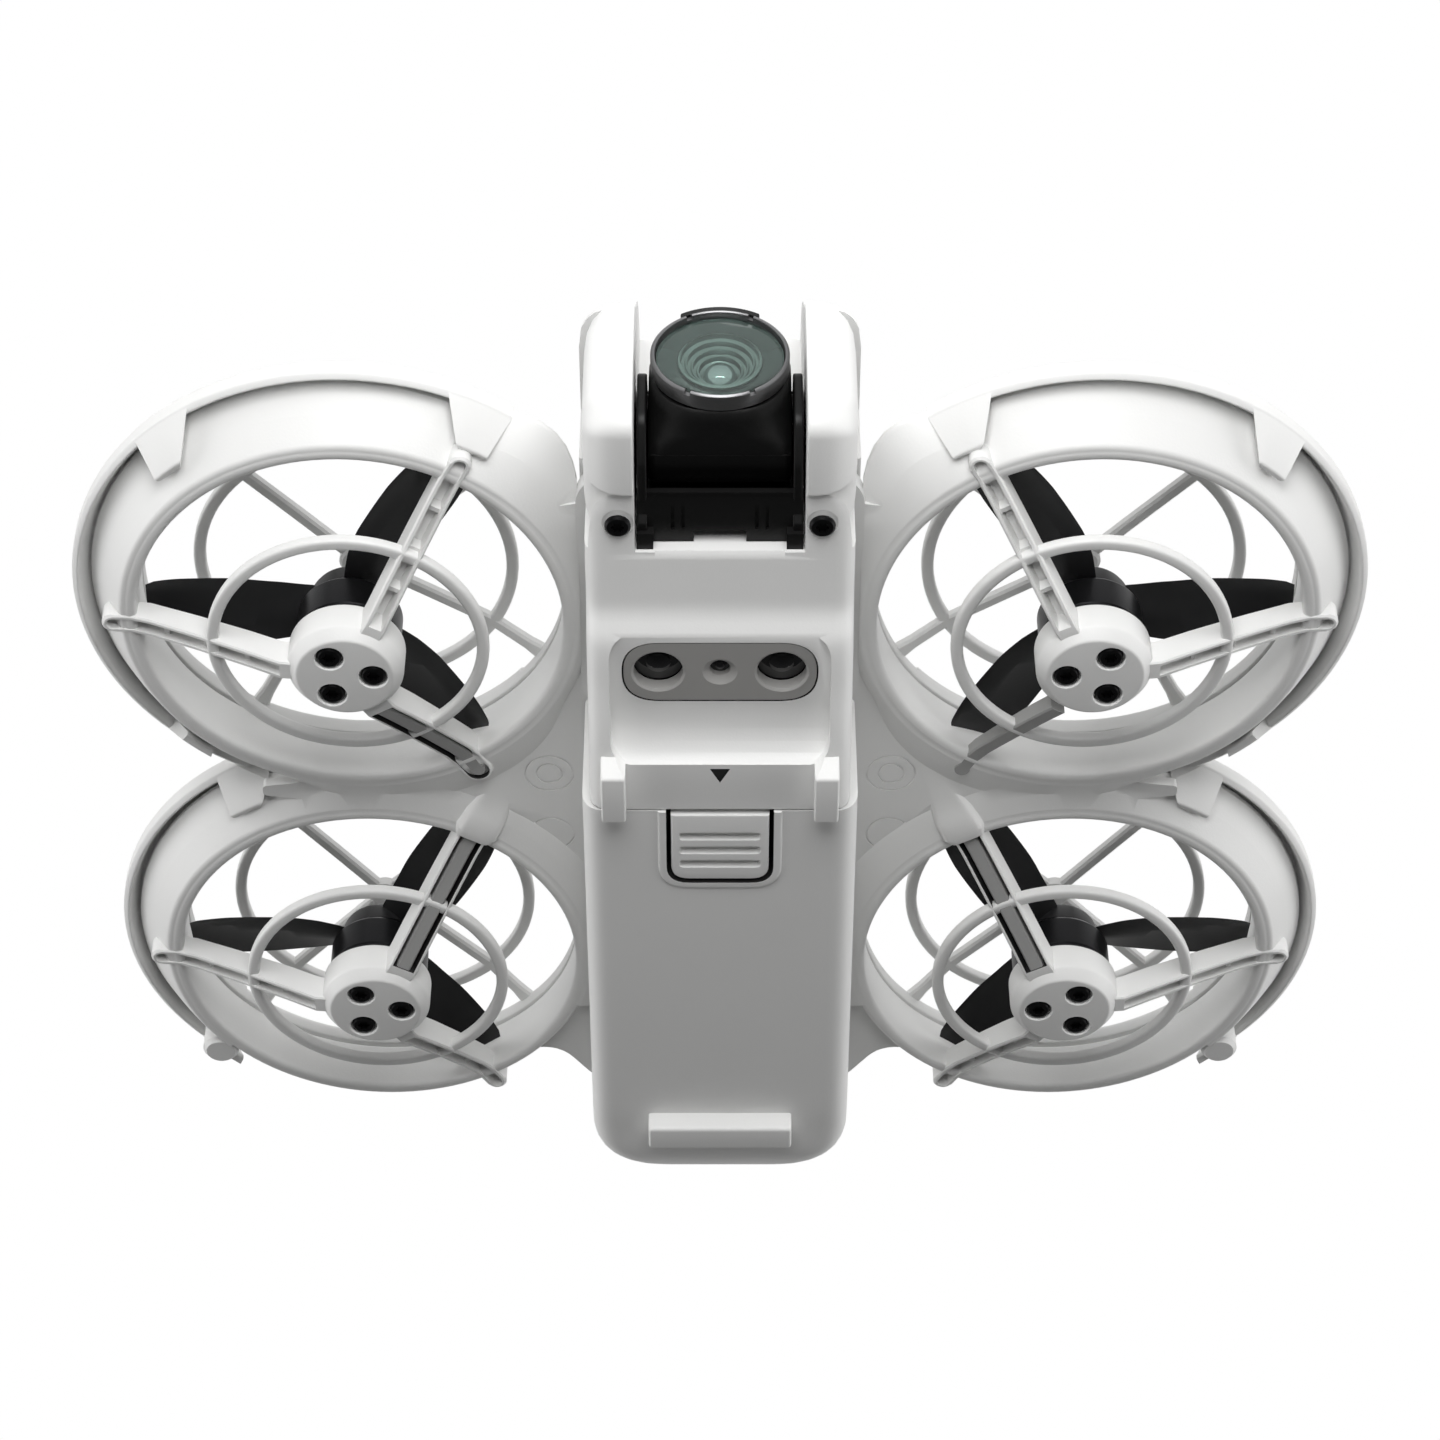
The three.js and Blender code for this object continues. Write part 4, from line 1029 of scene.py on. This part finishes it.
class DRONE_OT_lens(bpy.types.Operator):
    """Builds the lens ring, glass, coated floor and stepped barrel."""

    bl_idname = "drone.lens"
    bl_label = "Lens"

    def forward(self, bm):
        """Stands a piece turned about +Z onto the lens axis, its height running back from the front."""
        return moved(bm, lens_axis(LENS[0].y))

    def execute(self, context):
        ring_r = LENS[1].x
        ring = turned(soft_outline([(ring_r - 0.5, 0.15, 0.1), (ring_r - 0.3, 0.0, 0.1),
                                    (ring_r, 0.25, 0.2), (ring_r, 2.1, 0.1),
                                    (ring_r - 0.6, 2.1, 0.1)], 3), 128)
        notches = []
        for angle in (62, 118, 242, 298):
            turn = math.radians(angle)
            notch = box(-0.35, 0.35, -0.7, 0.7, -0.5, 0.6)
            notches.append(moved(notch, Matrix.Rotation(turn - math.pi / 2, 4,
                                                        "Z") @ Matrix.Translation((0, ring_r - 0.2, 0))))
        ring = combine(ring, notches, "DIFFERENCE")
        piece("lens_bezel", self.forward(ring), [look("satin lens ring")], "camera", ["lens_ring"])
        brow = [(ring_r + 0.05, 0.3), (ring_r + 0.45, 0.1), (ring_r + 0.6, 0.4), (ring_r + 0.6, 2.4),
                (ring_r + 0.05, 2.4)]
        arch = loft([[(math.cos(math.radians(a)) * rr, math.sin(math.radians(a)) * rr, z) for rr, z in brow]
                     for a in range(-122, -57, 4)])
        piece("lens_brow", self.forward(arch), [black_plastic()], "camera")
        r = ring_r - 0.65
        dome = capped_turn([(0.2, 0.12), (r * 0.4, 0.2), (r * 0.7, 0.38), (r * 0.92, 0.62), (r, 0.8),
                            (r, 1.1), (0.2, 0.75)], 96)
        piece("lens_cover_glass", self.forward(dome), [look("optical glass")], "camera", ["lens_glass"])
        floor = turned(soft_outline([(4.5, 1.7, 0.1), (ring_r - 0.62, 1.25, 0.1), (ring_r - 0.62, 2.1, 0),
                                     (4.5, 2.1, 0)], 3), 96)
        piece("lens_floor", self.forward(floor), [look("coated lens floor")], "camera")
        steps = [(4.7, 1.5), (4.45, 1.4), (4.3, 1.9), (3.95, 2.0), (3.85, 1.85), (3.7, 1.85), (3.6, 2.4),
                 (3.25, 2.5),
                 (3.15, 2.35), (3.0, 2.35), (2.9, 2.9), (2.6, 3.0), (2.5, 2.85), (2.35, 2.85), (2.25, 3.4),
                 (1.9, 3.6),
                 (1.9, 4.6), (4.7, 4.6)]
        piece("lens_barrel", self.forward(turned(steps, 96)), [look("barrel steps")], "camera",
              smooth=20)
        core = capped_turn([(0.1, 2.5), (0.8, 2.6), (1.4, 2.9), (1.85, 3.4), (1.85, 4.6)], 64)
        piece("lens_core", self.forward(core), [look("lens core")], "camera", smooth=60)
        return {"FINISHED"}


# ------------------------------------------------------------------ belly cover, sensors and battery
class DRONE_OT_belly_cover(bpy.types.Operator):
    """Builds the belly cover: screw tabs, sensor recess, dished lip, shelf and two blade feet."""

    bl_idname = "drone.belly_cover"
    bl_label = "Belly cover"

    def hull(self):
        low, high = COVER
        front, back = low.y, high.y
        mid = (WINDOW[0].y + WINDOW[1].y) / 2
        belly = [(front, 9.1), (mid - 9.6, 7.7), (mid - 7.8, 7.3), (mid - 4.8, 5.7), (mid + 2, 4.5),
                 (mid + 9, 3.1),
                 (mid + 13, 2.7), (back, 2.6)]
        places = [front + d for d in (0, 0.3, 0.8,
                                      1.6)] + [front + 3 + (back - front - 3) * i / 44 for i in range(45)]
        rings = []
        for y in places:
            half = high.x - drop(3.2, front + 3.2 - y)
            rings.append(section_ring(half, smooth_value(belly, y) + drop(0.8, front + 0.8 - y), high.z,
                                      2.4, 0.4, y, 6))
        return loft(rings)

    def dish(self):
        """Cutter for the recess in front of the lip: flat over the sensors, then curving down to the lip."""
        y0, y1 = WINDOW[0].y - 1.4, WINDOW[1].y + 7.6
        roof = 6.0
        side = [(y0, 0), (y0, roof), (WINDOW[1].y + 0.6, roof)]
        side += [(WINDOW[1].y + 0.6 + 7.0 * math.sin(math.radians(a)),
                  roof - 3.9 * (1 - math.cos(math.radians(a))))
                 for a in (15, 30, 45, 60, 75, 90)]
        side += [(y1, 0)]
        slab = across(side, -20, 20)
        plan = plate(rounded_box_outline(12.9, y0, y1, 3.6, 8), -1, 8)
        return combine(slab, [plan], "INTERSECT")

    def execute(self, context):
        white, dark = white_plastic(), look("painted slot shade")
        low, high = COVER
        front, back = low.y, high.y
        bay = box(-BAY_HALF, BAY_HALF, front - 2, CHEEK[1].y + 0.3, 0, 40)
        roof = box(-20, 20, front - 2, CHEEK[1].y + 0.3, 9.2, 40)
        hollow = box(-13.7, 13.7, CHEEK[1].y + 2.4, back - 1.8, 10.2, 40)
        ramp = across([(CHEEK[1].y, 7), (CHEEK[1].y + 1.5, 7), (CHEEK[1].y + 1.5, 7.9), (CHEEK[1].y, 8.9)],
                      -7.4, 7.4)
        wells = []
        for hand in SIDES:
            a, b = node_box(f"cover_screw_{hand}")
            wells.append(capped_turn([(2.2, 0), (2.2, 7.9), (1.8, 8.2), (1.8, 8.9)], 40,
                                     ((a.x + b.x) / 2, (a.y + b.y) / 2, 0)))
        feet = []
        for side in SIDES.values():
            x = side * 12.6
            foot = across(soft_outline([(back - 8.6, 3.4, 0.2), (back - 7.4, 0.0, 0.5),
                                        (back - 0.2, 0.0, 0.4),
                                        (back - 0.2, 3.4, 0.1)], 3), x - 1.45, x + 1.45, 0.3, 0.3)
            feet.append(foot)
        mid = (WINDOW[0].y + WINDOW[1].y) / 2
        # The sensor pocket and the arrow mark are cut by marked cutters, so their walls carry near-black
        # painted shade.
        pocket = paint_slot_shade(plate(rounded_box_outline(11.45, WINDOW[0].y - 0.15, WINDOW[1].y + 0.15, 4.64, 12),
                             3, 8.4))
        arrow = paint_slot_shade(plate([(-1.2, back - 6.6), (1.2, back - 6.6), (0, back - 4.4)], 0, 2.78))
        cover = combine(self.hull(), feet)
        cover = combine(cover, [bay, roof, hollow, self.dish(), pocket, arrow, ramp, *wells], "DIFFERENCE")
        piece("belly_shell", cover, [white, dark], "airframe", ["belly_cover"], smooth=32)
        return {"FINISHED"}


class DRONE_OT_sensors(bpy.types.Operator):
    """Builds the sensor window with its two range sensors and downward camera."""

    bl_idname = "drone.sensors"
    bl_label = "Sensors"

    def execute(self, context):
        grey = look("sensor panel")
        low, high = WINDOW
        mid = (low.y + high.y) / 2
        base, sensor_x = 6.05, 7.2
        panel = plate(rounded_box_outline(11.25, low.y, high.y, 4.45, 12), base, base + 1.7)
        holes = []
        for x, r, flare in ((-sensor_x, 2.9, 0.3), (sensor_x, 2.9, 0.3), (0, 1.2, 0.85)):
            holes.append(capped_turn([(r + flare, base - 1), (r + flare, base - 0.01),
                                      (r, base + flare * 0.8), (r, base + 3)],
                                     56, (x, mid, 0)))
        piece("sensor_panel", combine(panel, holes, "DIFFERENCE"), [grey], "airframe", ["sensor_window"])
        dark = look("dark sensor cap")
        for x, r, name, node in ((-sensor_x, 2.85, "sensor_cap_left", "range_sensor_left"),
                                 (sensor_x, 2.85, "sensor_cap_right", "range_sensor_right"),
                                 (0, 1.3, "eye_cap", "downward_camera")):
            sunk = base + (1.3 if r > 2 else 0.9)
            cap = capped_turn([(0.1, sunk), (r * 0.3, sunk + 0.05), (r * 0.5, sunk + 0.25),
                               (r * 0.52, sunk + 0.5),
                               (r, sunk + 0.55), (r, sunk + 0.9)], 48, (x, mid, 0))
            piece(name, cap, [dark], "airframe", [node], smooth=50)
        return {"FINISHED"}


class DRONE_OT_battery(bpy.types.Operator):
    """Builds the battery case with its latch slot, rim and foot bar, and the grooved latch."""

    bl_idname = "drone.battery"
    bl_label = "Battery"

    def case(self):
        low, high = BATTERY
        front, back, half, top = low.y, high.y, high.x, high.z
        places = [front, front + 0.3] + [front + 2 + (back - 14 - front) * i / 20 for i in range(21)]
        places += eased(back - 12, back, 16)
        rings = []
        for y in places:
            width = half - drop(12.5, y - (back - 12.5)) * 0.95
            belly = 2.6 + drop(10, y - (back - 10))
            corner = 3.2 + 3.6 * max(0, 1 - (back - y) / 14)
            rings.append(section_ring(width, belly, top - drop(1.5, y - (back - 1.5)), corner, 0.8, y, 7))
        return loft(rings)

    def tab_outline(self, grow):
        low, high = LATCH
        return soft_outline([(low.x - grow, low.y - 3, 0), (high.x + grow, low.y - 3, 0),
                             (high.x + grow, high.y + grow, 2.2 + grow),
                             (low.x - grow, high.y + grow, 2.2 + grow)], 7)

    def execute(self, context):
        white, dark = white_plastic(), look("painted slot shade")
        low, high = BATTERY
        rim = plate(self.tab_outline(1.55), 2.3, 3.4)
        rim = round_edges(rim, lambda edge: all(v.co.z < 2.31 for v in edge.verts), 0.3, 3)
        rim = sliced(rim, (0, low.y, 0), (0, -1, 0))
        bar_y = high.y - 14.6
        bar = across(soft_outline([(bar_y - 2.2, 3.2, 0), (bar_y - 1.9, 0.0, 0.5), (bar_y + 1.9, 0.0, 0.5),
                                   (bar_y + 2.2, 3.2, 0)], 3), -9.2, 9.2, 0.4, 0.4)
        case = combine(self.case(), [rim, bar])
        pocket = plate(self.tab_outline(0.55), 0, 5.1)
        hollow = box(-14.6, 14.6, low.y - 1, high.y - 8, 6.5, high.z - 1.7)
        # The latch pocket is cut by a marked cutter, so its walls carry near-black painted shade.
        case = combine(case, [paint_slot_shade(pocket), hollow], "DIFFERENCE")
        piece("battery_shell", case, [white, dark], "battery", ["battery_case"], smooth=32)
        a, b = LATCH
        tab = sliced(plate(self.tab_outline(0), a.z - 0.35, b.z), (0, a.y, 0), (0, -1, 0))
        tab = round_edges(tab, lambda edge: all(v.co.z < a.z for v in edge.verts), 0.25, 3)
        grooves = []
        for i in range(3):
            y = a.y + 2.9 + 2.35 * i
            groove = plate(rounded_box_outline(4.9, y, y + 1.35, 0.55, 5), a.z - 1, a.z + 0.65)
            grooves.append(groove)
        tab = combine(tab, grooves, "DIFFERENCE")
        piece("latch_tab", tab, [white], "latch", ["battery_latch"])
        return {"FINISHED"}


class DRONE_OT_inner_parts(bpy.types.Operator):
    """Gives the boards, cells, connector and spine their finishes."""

    bl_idname = "drone.inner_parts"
    bl_label = "Inner parts"

    def execute(self, context):
        for node in ("main_board", "sensor_board"):
            repaint(node, look("solder mask"))
        repaint("battery_cells", look("cell foil"))
        repaint("battery_connector", black_plastic())
        repaint("spine_plate", white_plastic())
        return {"FINISHED"}


# ------------------------------------------------------------------ stage
SKY = ((0.0, 0.04), (0.28, 0.10), (0.42, 0.55), (0.5, 1.0), (0.62, 1.0), (1.0, 0.7))


class DRONE_OT_stage(bpy.types.Operator):
    """Sets the camera, lamps, sky and floor."""

    bl_idname = "drone.stage"
    bl_label = "Stage"

    def lamp(self, name, place, size, power):
        data = bpy.data.lights.new(name, "AREA")
        data.size = size
        data.energy = power
        lamp = bpy.data.objects.new(name, data)
        lamp.location = place
        lamp.rotation_mode = "QUATERNION"
        lamp.rotation_quaternion = (Vector((0, 0, 0.02)) - Vector(place)).to_track_quat("-Z", "Y")
        bpy.context.scene.collection.objects.link(lamp)

    def sky(self, strength):
        world = bpy.data.worlds.new("studio")
        bpy.context.scene.world = world
        world.use_nodes = True
        nodes, links = world.node_tree.nodes, world.node_tree.links
        nodes.clear()
        path = nodes.new("ShaderNodeLightPath")
        seen, even = nodes.new("ShaderNodeBackground"), nodes.new("ShaderNodeBackground")
        even.inputs["Strength"].default_value = strength
        mix, out = nodes.new("ShaderNodeMixShader"), nodes.new("ShaderNodeOutputWorld")
        links.new(path.outputs["Is Camera Ray"], mix.inputs[0])
        links.new(even.outputs[0], mix.inputs[1])
        links.new(seen.outputs[0], mix.inputs[2])
        links.new(mix.outputs[0], out.inputs[0])
        seen.inputs["Color"].default_value = (1, 1, 1, 1)
        place, split = nodes.new("ShaderNodeTexCoord"), nodes.new("ShaderNodeSeparateXYZ")
        height, ramp = nodes.new("ShaderNodeMapRange"), nodes.new("ShaderNodeValToRGB")
        height.inputs["From Min"].default_value = -1
        links.new(place.outputs["Generated"], split.inputs[0])
        links.new(split.outputs["Z"], height.inputs["Value"])
        links.new(height.outputs["Result"], ramp.inputs[0])
        links.new(ramp.outputs["Color"], even.inputs["Color"])
        stops = ramp.color_ramp.elements
        while len(stops) < len(SKY):
            stops.new(0.5)
        for stop, (at, grey) in zip(stops, SKY):
            stop.position = at
            stop.color = (grey, grey, grey, 1)

    def floor(self, colour):
        bm = plate([(-2, -2), (2, -2), (2, 2), (-2, 2)], -0.001, -0.0001)
        bm.faces.ensure_lookup_table()
        keep = max(bm.faces, key=lambda face: face.calc_center_median().z)
        bmesh.ops.delete(bm, geom=[face for face in bm.faces if face is not keep], context="FACES")
        mesh = bpy.data.meshes.new("floor")
        bm.to_mesh(mesh)
        bm.free()
        floor = bpy.data.objects.new("floor", mesh)
        bpy.context.scene.collection.objects.link(floor)
        material = finish("floor paint", colour, 0.9, shade=0.98, mottle=0.4, depth=0.0)
        nodes, links = material.node_tree.nodes, material.node_tree.links
        shader, out = nodes["Principled BSDF"], nodes["Material Output"]
        clear, mix, side = (nodes.new(kind) for kind in ("ShaderNodeBsdfTransparent",
                                                         "ShaderNodeMixShader", "ShaderNodeNewGeometry"))
        links.new(side.outputs["Backfacing"], mix.inputs[0])
        links.new(shader.outputs[0], mix.inputs[1])
        links.new(clear.outputs[0], mix.inputs[2])
        links.new(mix.outputs[0], out.inputs["Surface"])
        mesh.materials.append(material)
        floor.visible_shadow = False
        floor.visible_diffuse = False
        floor.visible_glossy = False

    def execute(self, context):
        stage = settings("stage")
        data = bpy.data.cameras.new("camera")
        data.lens = stage.lens_length
        data.clip_start = 0.01
        camera = bpy.data.objects.new("camera", data)
        camera.location = (0, -0.3400, -0.3253)
        camera.rotation_euler = (math.radians(136), 0, 0)
        bpy.context.scene.collection.objects.link(camera)
        bpy.context.scene.camera = camera
        self.sky(stage.sky_strength)
        self.lamp("key", (0, -0.30, -0.075), 0.2, stage.key_power)
        self.lamp("under", (0.0, -0.25, -0.9), 0.8, stage.under_power)
        self.lamp("overhead", (0.15, 0.1, 0.9), 0.8, stage.top_power)
        for hand, side in SIDES.items():
            self.lamp(f"{hand} flank", (side * 0.5, 0.02, -0.03), 0.4, stage.flank_power)
        self.floor(stage.floor_colour)
        bpy.context.scene.view_settings.view_transform = "Standard"
        return {"FINISHED"}


OPERATORS = (DRONE_OT_stage, DRONE_OT_lower_frame, DRONE_OT_wire_covers, DRONE_OT_guards, DRONE_OT_motors,
             DRONE_OT_propellers, DRONE_OT_screws, DRONE_OT_top_shell, DRONE_OT_buttons, DRONE_OT_cheeks,
             DRONE_OT_camera_head, DRONE_OT_lens, DRONE_OT_belly_cover, DRONE_OT_sensors, DRONE_OT_battery,
             DRONE_OT_inner_parts)
GROUPS = {"shell": DroneShellSettings, "rotor": DroneRotorSettings, "stage": DroneStageSettings}


class DRONE_PT_sidebar(bpy.types.Panel):
    """Lists the settings and the operators that build the craft."""

    bl_idname = "DRONE_PT_sidebar"
    bl_label = "Quadcopter"
    bl_space_type = "VIEW_3D"
    bl_region_type = "UI"
    bl_category = "Quadcopter"

    def draw(self, context):
        for kind, group in GROUPS.items():
            for name in group.__annotations__:
                self.layout.prop(settings(kind), name)
        for operator in OPERATORS:
            self.layout.operator(operator.bl_idname)


def register():
    for cls in (*GROUPS.values(), *OPERATORS, DRONE_PT_sidebar):
        bpy.utils.register_class(cls)
    for kind, group in GROUPS.items():
        setattr(bpy.types.Scene, f"drone_{kind}", bpy.props.PointerProperty(type=group))


def unregister():
    for kind in GROUPS:
        delattr(bpy.types.Scene, f"drone_{kind}")
    for cls in reversed((*GROUPS.values(), *OPERATORS, DRONE_PT_sidebar)):
        bpy.utils.unregister_class(cls)


def main():
    register()
    for operator in OPERATORS:
        group, name = operator.bl_idname.split(".")
        getattr(getattr(bpy.ops, group), name)()


if __name__ == "__main__":
    main()
